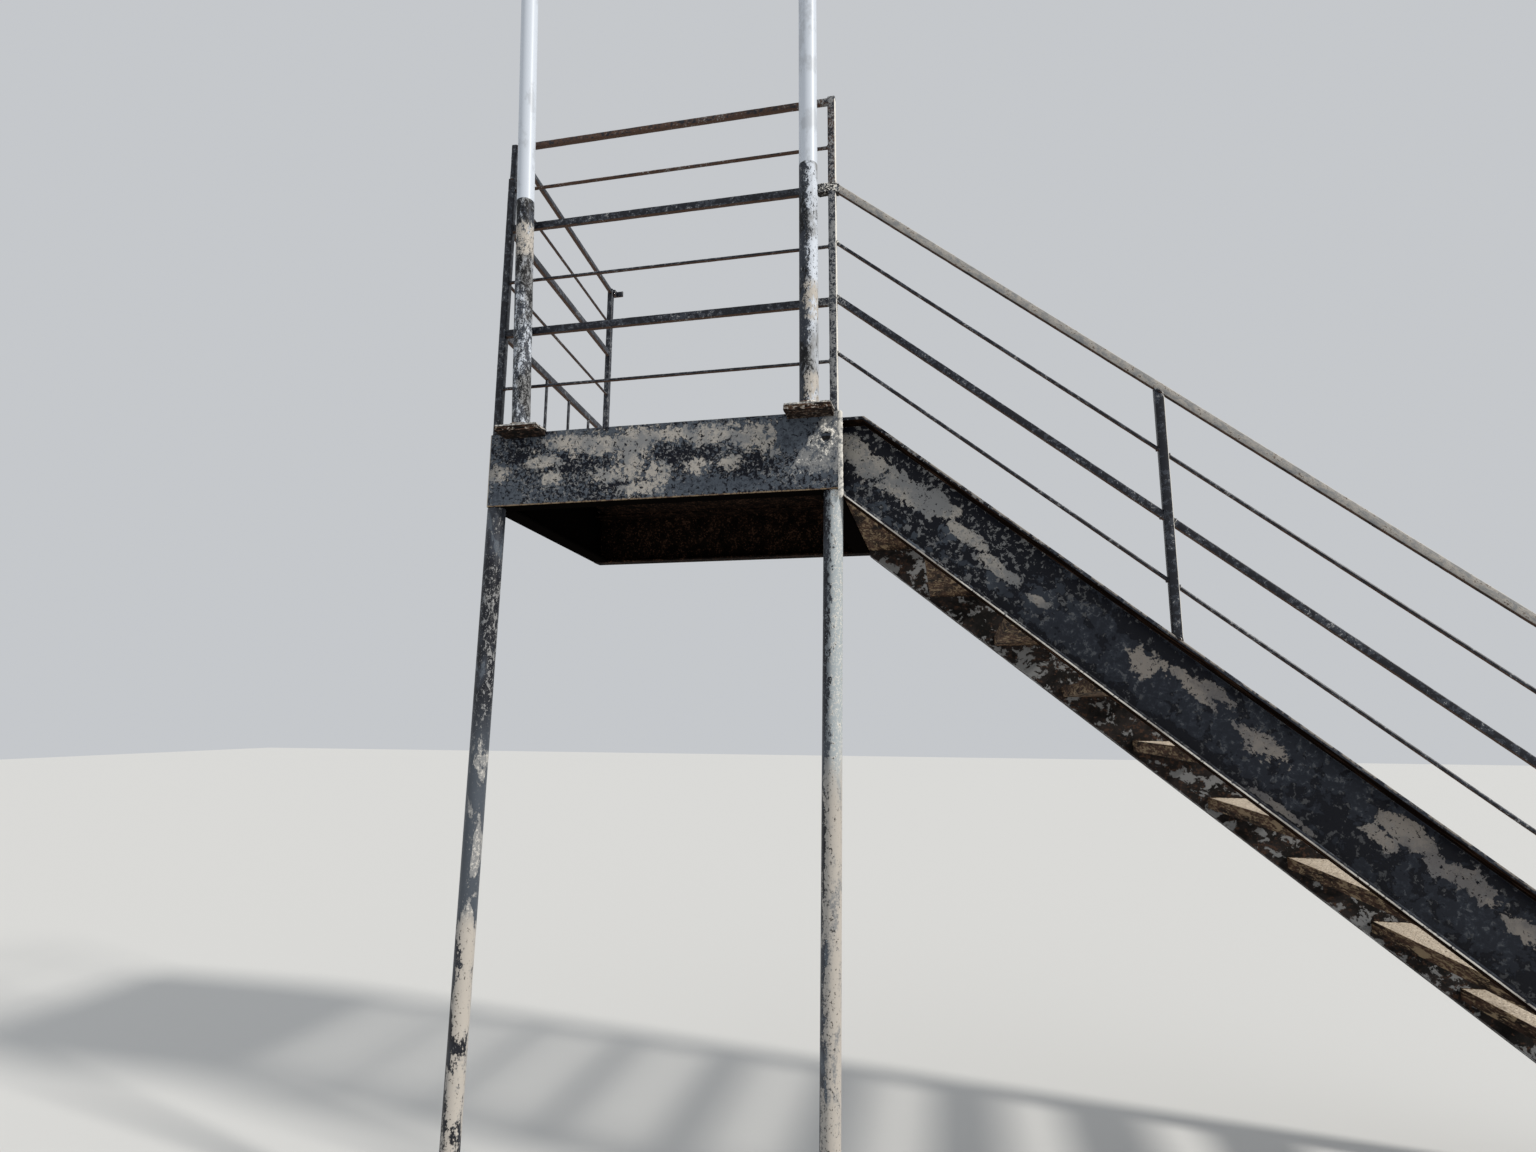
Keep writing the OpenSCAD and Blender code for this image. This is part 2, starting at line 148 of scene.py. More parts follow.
def stringer_line():
    """Height of the stringers' sloping top edge where the flight leaves the landing."""
    points = np.array([v.co for v in nodes["stringer_outer"].data.vertices])
    at_foot = points[points[:, 0] > STAIR_END - 1e-4]
    return at_foot[:, 2].max() + (STAIR_END - RIGHT) * TAN


TOP_LINE = stringer_line()


def tint(red, green, blue):
    """A colour as a painter names it, 0 to 255 on screen, in the linear values that a shader takes."""
    screen = np.array([red, green, blue]) / 255
    linear = np.where(screen <= 0.04045, screen / 12.92, ((screen + 0.055) / 1.055) ** 2.4)
    return (*linear.tolist(), 1.0)


NAVY = tint(11, 14, 24)
BLACK_PAINT = tint(9, 10, 13)
BLUE_GREY = tint(76, 83, 92)
DULL_BLUE = tint(48, 53, 62)
DEEP_BLUE = tint(33, 37, 46)
BARE_GREY = tint(128, 129, 130)
PRIMER = tint(166, 161, 154)
CHALK = tint(222, 218, 210)
RUST_DARK = tint(24, 17, 13)
RUST_BROWN = tint(74, 54, 43)
RUST_YELLOW = tint(134, 116, 92)
WEB_RUST = tint(40, 35, 34)
POST_WHITE = tint(196, 203, 213)
PALE_COAT = tint(160, 168, 172)
OLD_CREAM = tint(176, 170, 162)
CONCRETE = tint(176, 162, 144)
GRIT_LIGHT = tint(214, 202, 184)
GRIT_DARK = tint(92, 78, 64)
# Near black: black scale, and painted shade behind and under the steel and inside the hole
BLACK_SCALE_AND_SHADE = tint(10, 8, 7)
FLOOR_GREY = tint(206, 206, 204)


class Value:
    """A socket of a finish. Arithmetic on it adds Math nodes."""

    def __init__(self, finish, socket):
        self.finish = finish
        self.socket = socket

    def __add__(self, other):
        return self.finish.math("ADD", self, other)

    def __radd__(self, other):
        return self.finish.math("ADD", other, self)

    def __sub__(self, other):
        return self.finish.math("SUBTRACT", self, other)

    def __rsub__(self, other):
        return self.finish.math("SUBTRACT", other, self)

    def __mul__(self, other):
        return self.finish.math("MULTIPLY", self, other)

    def __rmul__(self, other):
        return self.finish.math("MULTIPLY", other, self)


class Finish:
    """A procedural material written as expressions on the place of a point of the object."""

    def __init__(self, name):
        self.material = bpy.data.materials.new(name)
        self.material.use_nodes = True
        self.tree = self.material.node_tree
        self.tree.nodes.clear()
        self.place = self.node("ShaderNodeTexCoord", out="Object")
        self.facing = self.node("ShaderNodeNewGeometry", out="Normal")

    def node(self, kind, settings=None, sockets=None, out=0):
        """Adds a node, sets it up, then fills or links its sockets, and gives back one output."""
        made = self.tree.nodes.new(kind)
        for key, value in (settings or {}).items():
            setattr(made, key, value)
        for key, value in (sockets or {}).items():
            if isinstance(value, Value):
                self.tree.links.new(value.socket, made.inputs[key])
            else:
                made.inputs[key].default_value = value
        return None if out is None else Value(self, made.outputs[out])

    def math(self, operation, first, second=0.0):
        """A sum on one or two numbers."""
        return self.node("ShaderNodeMath", {"operation": operation}, {0: first, 1: second})

    def vector(self, operation, first, second, out=0):
        """A sum on two vectors."""
        return self.node("ShaderNodeVectorMath", {"operation": operation}, {0: first, 1: second}, out)

    def along(self, direction, what=None):
        """How far a point, or another vector, reaches along a direction."""
        return self.vector("DOT_PRODUCT", what or self.place, direction, "Value")

    def step(self, value, low, high):
        """0 below low, 1 above high, and a smooth rise between them."""
        settings = {"interpolation_type": "SMOOTHSTEP"}
        return self.node("ShaderNodeMapRange", settings, {0: value, 1: low, 2: high, 3: 0.0, 4: 1.0})

    def faces(self, direction):
        """1 on faces that look in a direction."""
        return self.step(self.along(direction, self.facing), 0.3, 0.7)

    def cloud(self, scale, detail=6.0, rough=0.6, warp=0.0, stretch=(1, 1, 1), shift=0.0):
        """Fractal noise about 0.5, with this many lumps to the metre."""
        spread = self.vector("MULTIPLY", self.place, stretch)
        moved = self.vector("ADD", spread, (shift, shift * 0.7, shift * 0.3))
        sockets = {"Vector": moved, "Scale": scale, "Detail": detail, "Roughness": rough, "Distortion": warp}
        return self.node("ShaderNodeTexNoise", None, sockets)

    def cells(self, scale, out="Distance"):
        """Distance to the nearest of many scattered points, or their random colour."""
        return self.node("ShaderNodeTexVoronoi", None, {"Vector": self.place, "Scale": scale}, out)

    def patch(self, centre, size):
        """1 at the centre, falling to 0 at the rim of an ellipsoid and below 0 outside it."""
        moved = self.vector("SUBTRACT", self.place, centre)
        scaled = self.vector("DIVIDE", moved, size)
        return 1 - self.vector("LENGTH", scaled, (0, 0, 0), "Value")

    def highest(self, values):
        """The largest of several values."""
        top = values[0]
        for value in values[1:]:
            top = self.math("MAXIMUM", top, value)
        return top

    def mix(self, factor, first, second):
        """The first colour where the factor is 0, the second where it is 1."""
        settings = {"data_type": "RGBA"}
        return self.node("ShaderNodeMix", settings, {0: factor, 6: first, 7: second}, 2)

    def blend(self, value, low, high, first, second):
        """The first colour where a value is below low, the second where it is above high."""
        return self.mix(self.step(value, low, high), first, second)

    def relief(self, height, depth):
        """Normal of a surface that stands out by depth where the height is 1."""
        return self.node("ShaderNodeBump", None, {"Height": height, "Distance": depth, "Strength": 1.0})

    def done(self, colour, roughness, normal=None, gloss=0.5, matt=None):
        """The finished material; gloss is the shader's own specular level, and matt takes it away."""
        sockets = {"Base Color": colour, "Roughness": roughness}
        if normal is not None:
            sockets["Normal"] = normal
        shader = self.node("ShaderNodeBsdfPrincipled", None, {**sockets, "Specular IOR Level": gloss})
        if matt is not None:
            dull = self.node("ShaderNodeBsdfPrincipled", None, {**sockets, "Specular IOR Level": 0.0})
            shader = self.node("ShaderNodeMixShader", None, {0: matt, 1: shader, 2: dull})
        self.node("ShaderNodeOutputMaterial", None, {"Surface": shader}, None)
        return self.material


def coats(f, top, middle, bottom, middle_shows, bottom_shows):
    """Colour and height of three coats: the middle shows through the top, the bottom through both."""
    colour = f.mix(bottom_shows, f.mix(middle_shows, top, middle), bottom)
    height = 1 - 0.4 * middle_shows - 0.4 * bottom_shows
    return colour, height


# Half size of a patch along Y, which takes it right through the stair
THROUGH = 10.0
# Pale patches of the fascia: X and Z of the centre, half width and half height
FASCIA_BARE = [
    (-0.30, 0.080, 0.13, 0.035), (-0.20, 0.065, 0.12, 0.045), (-0.08, 0.020, 0.06, 0.125),
    (-0.06, 0.080, 0.10, 0.050), (-0.16, -0.040, 0.08, 0.035), (0.01, -0.040, 0.06, 0.045),
    (0.06, 0.085, 0.12, 0.030), (0.20, 0.075, 0.16, 0.040), (0.33, 0.060, 0.11, 0.055),
    (0.39, 0.050, 0.05, 0.070), (-0.56, -0.010, 0.05, 0.040), (-0.39, 0.020, 0.08, 0.030),
    (-0.36, -0.040, 0.05, 0.030), (0.14, -0.030, 0.05, 0.035), (0.25, -0.020, 0.05, 0.030),
    (-0.05, -0.090, 0.10, 0.030), (0.02, -0.095, 0.05, 0.025),
]
# Where the old navy shows most on the fascia
FASCIA_NAVY = [
    (-0.30, 0.000, 0.16, 0.060), (0.10, 0.010, 0.16, 0.050), (-0.13, -0.085, 0.12, 0.035),
    (0.30, -0.020, 0.12, 0.050), (-0.46, 0.040, 0.08, 0.050),
]
# Where the newer blue-grey coat is whole
FASCIA_WHOLE = [
    (-0.53, -0.095, 0.07, 0.045), (0.46, 0.070, 0.09, 0.090), (0.20, -0.095, 0.25, 0.030),
    (0.57, 0.000, 0.05, 0.120),
]
# Pale patches of the outer stringer: along the slope, down from its top edge, and their half sizes
STRINGER_BARE = [
    (0.19, 0.105, 0.17, 0.078), (0.33, 0.095, 0.17, 0.062), (0.46, 0.075, 0.10, 0.045),
    (0.57, 0.105, 0.10, 0.030), (0.72, 0.128, 0.11, 0.028), (0.86, 0.135, 0.05, 0.020),
    (1.18, 0.105, 0.07, 0.048), (1.30, 0.072, 0.16, 0.036), (1.38, 0.050, 0.08, 0.026),
    (1.55, 0.095, 0.10, 0.040), (1.69, 0.205, 0.12, 0.014),
    (1.95, 0.055, 0.12, 0.044), (2.09, 0.072, 0.14, 0.042), (1.90, 0.110, 0.06, 0.025),
    (2.27, 0.085, 0.09, 0.044), (2.68, 0.120, 0.13, 0.045), (3.02, 0.070, 0.15, 0.040),
]
# Where the navy of the outer stringer is bare of the blue-grey coat
STRINGER_NAVY = [
    (0.35, 0.020, 0.60, 0.070), (0.62, 0.060, 0.25, 0.050), (0.10, 0.060, 0.16, 0.120),
    (1.62, 0.210, 0.50, 0.030), (1.85, 0.150, 0.22, 0.060), (2.55, 0.200, 0.50, 0.040),
    (1.15, 0.040, 0.35, 0.030), (1.05, 0.215, 0.40, 0.020), (2.35, 0.030, 0.50, 0.035),
]


def spots(f, table, least=-0.8):
    """Strength of the strongest of some patches, given by X, Z and half sizes, at every depth along Y."""
    found = [f.patch((x, 0, z), (wide, THROUGH, high)) for x, z, wide, high in table]
    return f.highest([*found, least])


def fascia_finish():
    """Blue-grey coat flaking off navy: pale patches, black flecks, a sandy lower edge partly a painted
    highlight, painted shade behind and under.
    """
    f = Finish("fascia_paint")
    torn = f.cloud(40.0, 8.0, 0.70, 0.3)
    flake = f.cloud(66.0, 7.0, 0.70, 0.3, shift=7.0)
    speck = f.cloud(105.0, 5.0, 0.72, 0.2, shift=3.0)
    tone = f.cloud(11.0, 4.0)
    whole = spots(f, FASCIA_WHOLE, 0.0)
    navy = f.step(flake + 0.09 * spots(f, FASCIA_NAVY, -0.5) - 0.20 * whole + 0.02, 0.495, 0.51)
    bare = f.step(torn * 0.5 + flake * 0.5 + 0.17 * spots(f, FASCIA_BARE) - 0.3 * whole, 0.535, 0.55)
    grains = f.step(speck + 0.2 * torn - 0.2 * whole, 0.665, 0.68)
    flecks = f.step(f.cloud(80.0, 6.0, 0.72, 0.4, shift=5.0) + 0.1 * torn, 0.625, 0.64)
    pale = f.blend(tone + 0.5 * speck, 0.64, 0.80, BARE_GREY, PRIMER)
    mottle = f.step(speck * 0.6 + flake * 0.4 + 0.3 * (tone - 0.5), 0.47, 0.55)
    colour, height = coats(f, f.mix(mottle * 0.7, BLUE_GREY, DULL_BLUE), NAVY, pale, navy, bare)
    colour = f.mix(grains * 0.85, colour, BARE_GREY)
    colour = f.mix(flecks, colour, NAVY)
    # A sandy rust line along the bottom edge, partly a painted highlight of the lit edge
    edge = f.step(f.along(DOWNWARD) + 0.008 * (speck - 0.5), -UNDER - 0.006, -UNDER - 0.003)
    colour = f.mix(edge, colour, f.blend(speck, 0.4, 0.55, RUST_BROWN, RUST_YELLOW))
    # A pale line down the left end of the front: a painted highlight of the lit end edge
    end = f.step(f.along(LEFTWARD) + 0.004 * speck, -LEFT - 0.003, -LEFT)
    colour = f.mix(end * f.step(f.along(OUTWARD), -FRONT - 0.004, -FRONT - 0.001), colour, PRIMER)
    # Faces behind the front, except outer faces on the left and the tops, are painted shade: black with a
    # little dark rust
    outside = f.faces(LEFTWARD) * f.step(f.along(LEFTWARD), 0.2, 0.4)
    painted = f.highest([outside, f.faces(UPWARD)])
    behind = f.step(f.along(INWARD), FRONT + 0.004, FRONT + 0.010) * (1 - painted)
    painted_shade = f.blend(torn, 0.56, 0.7, BLACK_SCALE_AND_SHADE, RUST_DARK)
    colour = f.mix(behind, colour, painted_shade)
    normal = f.relief(height - 0.3 * flecks + 0.25 * speck, 0.0009)
    matt = f.highest([behind, f.faces(DOWNWARD)])
    # Faces that look down are painted black shade
    colour = f.mix(f.faces(DOWNWARD), colour, BLACK_SCALE_AND_SHADE)
    return f.done(colour, 0.5 + 0.3 * bare, normal, 0.14, matt)


def flight_place(f):
    """Changes a finish to places along the flight: down the slope, across it, and down from its top edge."""
    moved = f.vector("SUBTRACT", f.place, (RIGHT, 0, TOP_LINE))
    into_slope = (-SIN, 0, -COS)
    sockets = {0: f.along(DOWN_SLOPE, moved), 1: f.along(INWARD, moved), 2: f.along(into_slope, moved)}
    f.place = f.node("ShaderNodeCombineXYZ", None, sockets)


def stringer_finish():
    """Torn blue-grey over navy, with long pale patches, bright toes below and rusty ones above, their pale
    fronts partly painted highlights.
    """
    f = Finish("stringer_paint")
    flight_place(f)
    below = f.along(UPWARD)
    torn = f.cloud(17.0, 9.0, 0.64, 0.5)
    fray = f.cloud(60.0, 7.0, 0.70, 0.3, shift=2.0)
    other = f.cloud(18.0, 9.0, 0.64, 0.5, shift=4.0)
    speck = f.cloud(100.0, 5.0, 0.70, 0.2, shift=3.0)
    lower = f.step(f.along(RIGHTWARD), 0.65, 1.05)
    ragged = other * 0.7 + fray * 0.3
    navy = f.step(ragged + 0.14 * spots(f, STRINGER_NAVY, -0.3) + 0.10 * (1 - lower), 0.515, 0.525)
    bare = f.step(torn * 0.62 + fray * 0.38 + 0.28 * spots(f, STRINGER_BARE), 0.58, 0.592)
    grains = f.step(fray + 0.3 * torn + 0.03 * (1 - lower), 0.735, 0.745)
    flecks = f.step(speck + 0.2 * fray, 0.70, 0.72)
    tone = f.cloud(7.0, 4.0)
    pale = f.blend(tone + 0.3 * speck, 0.52, 0.7, BARE_GREY, PRIMER)
    pale = f.mix(lower * 0.35, pale, RUST_BROWN)
    blue = f.blend(tone, 0.35, 0.6, DULL_BLUE, BLUE_GREY)
    deep = f.blend(fray, 0.46, 0.58, DEEP_BLUE, DULL_BLUE)
    colour, height = coats(f, f.mix(lower * 0.8 + 0.2, blue, deep), NAVY, pale, navy, bare)
    colour = f.mix(grains * (0.8 - 0.5 * lower), colour, BARE_GREY)
    colour = f.mix(flecks * bare, colour, NAVY)
    scale = f.blend(speck, 0.4, 0.6, RUST_DARK, RUST_BROWN)
    # The top toe is rust scale, its front paler: partly a painted highlight
    lip = f.step(below, TOE_SHOWS + 0.002, TOE_SHOWS - 0.002)
    front = f.step(f.along(INWARD), TOE + 0.003, TOE + 0.001)
    colour = f.mix(lip * f.step(other + 0.4 * speck, 0.62, 0.74), colour, f.mix(front * 0.6, scale, PRIMER))
    sole = f.step(below + 0.003 * (speck - 0.5), STRINGER_DEEP - TOE_SHOWS, STRINGER_DEEP - TOE_SHOWS + 0.002)
    # Faces that look down get dark rust streaks, partly painted shade under the flanges
    under = f.faces(DOWNWARD)
    grain = f.cloud(26.0, 7.0, 0.62, 0.4, stretch=(0.25, 1, 1), shift=6.0)
    rust_streaks_and_shade = f.blend(grain, 0.48, 0.74, RUST_DARK, RUST_BROWN)
    colour = f.mix(under, colour, rust_streaks_and_shade)
    # The bottom toe's front is pale: worn scale and partly a painted highlight
    bright = f.blend(tone, 0.45, 0.6, CHALK, PRIMER)
    colour = f.mix(sole * front * f.step(speck, 0.36, 0.42), colour, bright)
    normal = f.relief(height - 0.3 * flecks + 0.25 * speck, 0.0009)
    return f.done(colour, 0.42 + 0.35 * bare, normal, 0.18, under)


def rusty_finish(name, dark, mid, bright, pale_flecks=0.0, lime=CHALK, gloss=0.03, stretch=(1, 1, 1)):
    """Scaled rust in three browns, with flecks of lime or old paint where asked."""
    f = Finish(name)
    lumps = f.cloud(22.0, 8.0, 0.65, 0.4, stretch)
    fine = f.cloud(120.0, 5.0, 0.65, 0.0, stretch)
    colour = f.blend(lumps, 0.36, 0.6, dark, mid)
    colour = f.blend(fine + 0.4 * lumps, 0.72, 0.86, colour, bright)
    broad = f.cloud(6.0, 3.0, shift=5.0)
    torn = f.cloud(34.0, 8.0, 0.7, 0.4, stretch, 9.0)
    specks = f.step(torn + pale_flecks + 0.3 * (broad - 0.5), 0.62, 0.64)
    colour = f.mix(specks, colour, lime)
    normal = f.relief(lumps * 0.6 + fine * 0.5 + specks * 0.2, 0.0022)
    return f.done(colour, 0.95 - 0.1 * specks, normal, gloss)


def rail_finish(name, brown):
    """Navy paint on bars, speckled grey, with a painted highlight on faces that look right; brown adds to the
    rust.
    """
    f = Finish(name)
    torn = f.cloud(60.0, 7.0, 0.68, 0.3)
    fine = f.cloud(190.0, 4.0, 0.65)
    tone = f.cloud(5.0, 3.0, shift=5.0)
    to_right = f.along(RIGHTWARD)
    upright = f.step(f.along(UPWARD, f.facing), 0.3, 0.1)
    # Chalk on upright faces that look right, towards the right end: a painted highlight
    painted_highlight = f.step(f.along(RIGHTWARD, f.facing), 0.45, 0.75) * upright * f.step(to_right, 0.1, 0.4)
    worn = f.highest([1 - f.math("ABSOLUTE", (to_right - NEWEL) * 12.0), 0.0]) * 0.09
    grey = f.step(torn + 0.35 * (tone - 0.5) + worn, 0.50, 0.53)
    lost = fine * 0.5 + torn * 0.5 + 0.25 * (tone - 0.5) + 0.05 * f.faces(UPWARD) + worn
    chips = f.step(lost, 0.585, 0.60)
    rust = f.step(torn + 0.3 * f.faces(DOWNWARD) + brown, 0.62, 0.74)
    colour = f.mix(grey, NAVY, DULL_BLUE)
    colour = f.mix(rust, colour, RUST_BROWN)
    colour = f.mix(chips, colour, BARE_GREY)
    colour = f.mix(painted_highlight * f.step(fine + 0.3 * torn, 0.44, 0.52), colour, CHALK)
    normal = f.relief(torn * 0.5 + chips * 0.5 + 0.3 * fine, 0.0006)
    return f.done(colour, 0.42 + 0.4 * rust, normal, 0.35)


def handrail_finish():
    """Hand-worn pale grey top with a painted highlight, a streaked grey face, and brown rust below that is
    partly painted shade.
    """
    f = Finish("handrail_wear")
    flight_place(f)
    above, under = f.faces(UPWARD), f.faces(DOWNWARD)
    torn = f.cloud(60.0, 8.0, 0.7, 0.3, stretch=(0.5, 1, 1))
    fine = f.cloud(200.0, 5.0, 0.7, stretch=(0.6, 1, 1))
    face = f.blend(torn, 0.38, 0.60, BARE_GREY, PRIMER)
    # Pale top: wear and a painted highlight
    colour = f.mix(above * f.step(fine, 0.30, 0.42), face, CHALK)
    dots = f.step(fine * 0.5 + 0.5 * torn - 0.06 * above, 0.55, 0.60)
    colour = f.mix(dots * 0.85, colour, f.blend(torn, 0.45, 0.55, RUST_DARK, RUST_BROWN))
    # Dark rust underneath, partly painted shade
    colour = f.mix(under, colour, f.blend(torn, 0.35, 0.6, RUST_DARK, RUST_BROWN))
    normal = f.relief(torn + 0.6 * fine - 0.5 * dots, 0.0009)
    return f.done(colour, 0.62 + 0.3 * under, normal, 0.3)


def head_finish():
    """Lumpy weld in dark paint with pale flecks."""
    f = Finish("head_scale")
    torn = f.cloud(70.0, 7.0, 0.70, 0.3)
    fine = f.cloud(170.0, 5.0, 0.70, shift=2.0)
    colour = f.blend(torn, 0.42, 0.58, BLACK_PAINT, BLUE_GREY)
    colour = f.blend(fine + 0.4 * torn + 0.05 * f.faces(UPWARD), 0.72, 0.75, colour, CHALK)
    colour = f.blend(torn + 0.25 * f.faces(DOWNWARD), 0.66, 0.74, colour, RUST_DARK)
    return f.done(colour, 0.7, f.relief(torn + 0.5 * fine, 0.0016), 0.3)


def pipe_finish(name, worn_coat, share, shaded_side_extra, kept, cream_from, reach):
    """Dark paint that flakes off a worn coat; low down the coat is cream and little of the paint is left.

    share is how much paint is left, shaded_side_extra how much more dark paint the side facing left keeps as
    painted shade, and kept how much less low down. The coat turns cream within reach of the height
    cream_from; on the side facing left the worn coat and the cream are darkened too, as painted shade.
    """
    f = Finish(name)
    height = f.along(UPWARD)
    flake = f.cloud(95.0, 7.0, 0.68, 0.3, stretch=(1, 1, 0.5))
    large = f.cloud(22.0, 8.0, 0.62, 0.4, stretch=(1, 1, 0.35), shift=4.0)
    fine = f.cloud(150.0, 5.0, 0.70, shift=2.0)
    broad = f.cloud(5.0, 2.0, stretch=(1, 1, 0.6), shift=8.0)
    low = f.step(height + 0.2 * (large - 0.5), cream_from + reach, cream_from - reach)
    shade = f.along(LEFTWARD, f.facing)
    small = f.step(height + 0.4 * (broad - 0.5), -1.05, -0.75) * 0.8
    torn = (flake - large) * small + large
    drift = 0.16 * (broad - 0.5) * (1 - 0.8 * low)
    # More dark paint is left on the side facing left: painted shade
    lost = torn * 0.8 + fine * 0.2 + share + (0.06 * low + shaded_side_extra) * shade + drift - kept * low
    flakes = f.step(lost, 0.50, 0.515)
    worn = f.mix(f.step(fine + 0.6 * (flake - 0.5), 0.50, 0.60) * 0.7, worn_coat, CHALK)
    cream = f.blend(large + 0.6 * (fine - 0.5), 0.50, 0.66, OLD_CREAM, BARE_GREY)
    cream = f.blend(flake * 0.5 + fine * 0.5 + 0.05 * shade, 0.55, 0.57, cream, RUST_DARK)
    # The worn coat and the cream are darkened on the side facing left: painted shade
    painted_shade_side = f.step(shade, -0.15, 0.45)
    worn = f.mix(painted_shade_side * 0.8, worn, BLUE_GREY)
    cream = f.mix(painted_shade_side * 0.5, cream, BARE_GREY)
    coat = f.blend(broad + 0.6 * (large - 0.5), 0.42, 0.56, NAVY, DULL_BLUE)
    coat = f.blend(large + 0.5 * (broad - 0.5), 0.60, 0.64, coat, BLUE_GREY)
    coat = f.mix((0.8 - small) * (1 - low), coat, BLUE_GREY)
    colour = f.mix(flakes, f.mix(low, worn, cream), coat)
    grains = f.step(fine + 0.3 * (flake - 0.5), 0.63, 0.65)
    colour = f.mix(grains, colour, f.mix(flakes, RUST_DARK, worn_coat))
    normal = f.relief(flakes * 0.8 + 0.4 * fine, 0.0006)
    return f.done(colour, 0.45, normal, 0.35)


def tall_post_finish(name, line, band_deep, cream, foot, shaded_side_extra):
    """White above a line, and dark flecked paint below it, whole in a band under the line.

    The worn coat shows cream between two heights and below the height of foot, and shaded_side_extra is how
    much more dark paint is left on the side facing left, as painted shade.
    """
    f = Finish(name)
    height = f.along(UPWARD)
    long_flakes = f.cloud(52.0, 8.0, 0.72, 0.3, stretch=(1, 1, 0.5))
    fine = f.cloud(125.0, 5.0, 0.72, stretch=(1, 1, 0.7))
    shade = f.along(LEFTWARD, f.facing)
    ragged = height + 0.010 * long_flakes
    white = f.step(ragged, line + 0.004, line + 0.006)
    band = f.step(ragged, line - band_deep - 0.02, line - band_deep + 0.01)
    near = f.step(ragged, line - 0.02, line)
    band_of_cream = f.step(ragged, cream[0] - 0.03, cream[0]) * f.step(ragged, cream[1] + 0.03, cream[1])
    creamy = f.highest([band_of_cream, f.step(ragged, foot + 0.02, foot - 0.01)])
    # More dark paint on the side facing left: painted shade
    lost = long_flakes * 0.5 + fine * 0.5 + shaded_side_extra * shade + 0.05 * band - 0.045 * creamy - 0.06 * near
    flakes = f.step(lost, 0.475, 0.49)
    tone = f.cloud(12.0, 4.0, stretch=(1, 1, 0.5), shift=6.0)
    worn = f.blend(tone, 0.42, 0.60, BARE_GREY, POST_WHITE)
    bare = f.mix(creamy * f.step(long_flakes, 0.60, 0.50), worn, OLD_CREAM)
    coat = f.blend(tone + 0.5 * (fine - 0.5), 0.48, 0.54, BLACK_PAINT, DULL_BLUE)
    colour = f.mix(flakes, bare, coat)
    colour = f.mix(f.step(fine, 0.60, 0.62) * flakes, colour, BARE_GREY)
    colour = f.mix(f.step(fine, 0.42, 0.40) * (1 - flakes), colour, BLACK_PAINT)
    clean = f.mix(f.step(tone + 0.2 * fine, 0.62, 0.72) * 0.3, POST_WHITE, BARE_GREY)
    colour = f.mix(white, colour, clean)
    normal = f.relief(white * 0.8 + (1 - white) * (flakes * 0.6 + 0.5 * fine), 0.0008)
    return f.done(colour, 0.4 + 0.2 * (1 - white), normal, 0.25)


def bracket_finish(name, paler):
    """A crust of pale scale on top, yellow-brown leaves of rust in front, and painted shade below, black with
    some brown.
    """
    f = Finish(name)
    leaves = f.cloud(30.0, 7.0, 0.65, 0.8, stretch=(0.6, 2.0, 5.0))
    lumps = f.cloud(70.0, 6.0, 0.65, 0.6, stretch=(1, 1, 2), shift=4.0)
    fine = f.cloud(160.0, 5.0, 0.7)
    height = f.along(UPWARD) + 0.004 * (lumps - 0.5)
    leaf = f.blend(leaves + 0.5 * paler, 0.46, 0.57, BLACK_SCALE_AND_SHADE, RUST_BROWN)
    leaf = f.blend(lumps + paler, 0.56, 0.68, leaf, RUST_YELLOW)
    leaf = f.blend(lumps * 0.6 + 0.4 * fine + 0.5 * paler, 0.56, 0.58, leaf, PRIMER)
    crust = f.blend(fine, 0.42, 0.6, BARE_GREY, CHALK)
    colour = f.blend(height, DECK + 0.001, DECK + 0.003, leaf, crust)
    # Faces that look down are painted shade, black and brown
    painted_shade = f.blend(lumps + 0.3 * leaves, 0.66, 0.80, BLACK_SCALE_AND_SHADE, RUST_BROWN)
    colour = f.mix(f.faces(DOWNWARD) * (0.92 - 3 * paler), colour, painted_shade)
    return f.done(colour, 0.95, f.relief(leaves * 0.6 + fine * 0.6, 0.003), 0.15)


def concrete_finish():
    """Washed concrete: sandy grit of mixed tones in a pale paste."""
    f = Finish("washed_concrete")
    stones = f.cells(260.0)
    pick = f.cells(260.0, out="Color")
    tone = f.along((0.5, 0.3, 0.2), pick)
    colour = f.blend(tone, 0.3, 0.75, CONCRETE, GRIT_LIGHT)
    colour = f.blend(tone, 0.80, 0.84, colour, GRIT_DARK)
    dirt = f.cloud(10.0, 6.0)
    colour = f.mix(f.step(dirt, 0.5, 0.75) * 0.5, colour, GRIT_DARK)
    normal = f.relief(1 - stones, 0.0012)
    return f.done(colour, 0.95, normal, 0.2)


def weld_finish():
    """Rough pale weld metal with chalky paint on it, its paleness partly a painted highlight of the sunlit
    strip.
    """
    f = Finish("weld_scale")
    fine = f.cloud(160.0, 5.0, 0.65)
    torn = f.cloud(50.0, 7.0, 0.65, shift=3.0)
    colour = f.blend(torn, 0.40, 0.52, BARE_GREY, CHALK)
    colour = f.blend(fine + 0.4 * torn, 0.84, 0.88, colour, DULL_BLUE)
    return f.done(colour, 0.6, f.relief(fine, 0.0008), 0.3)


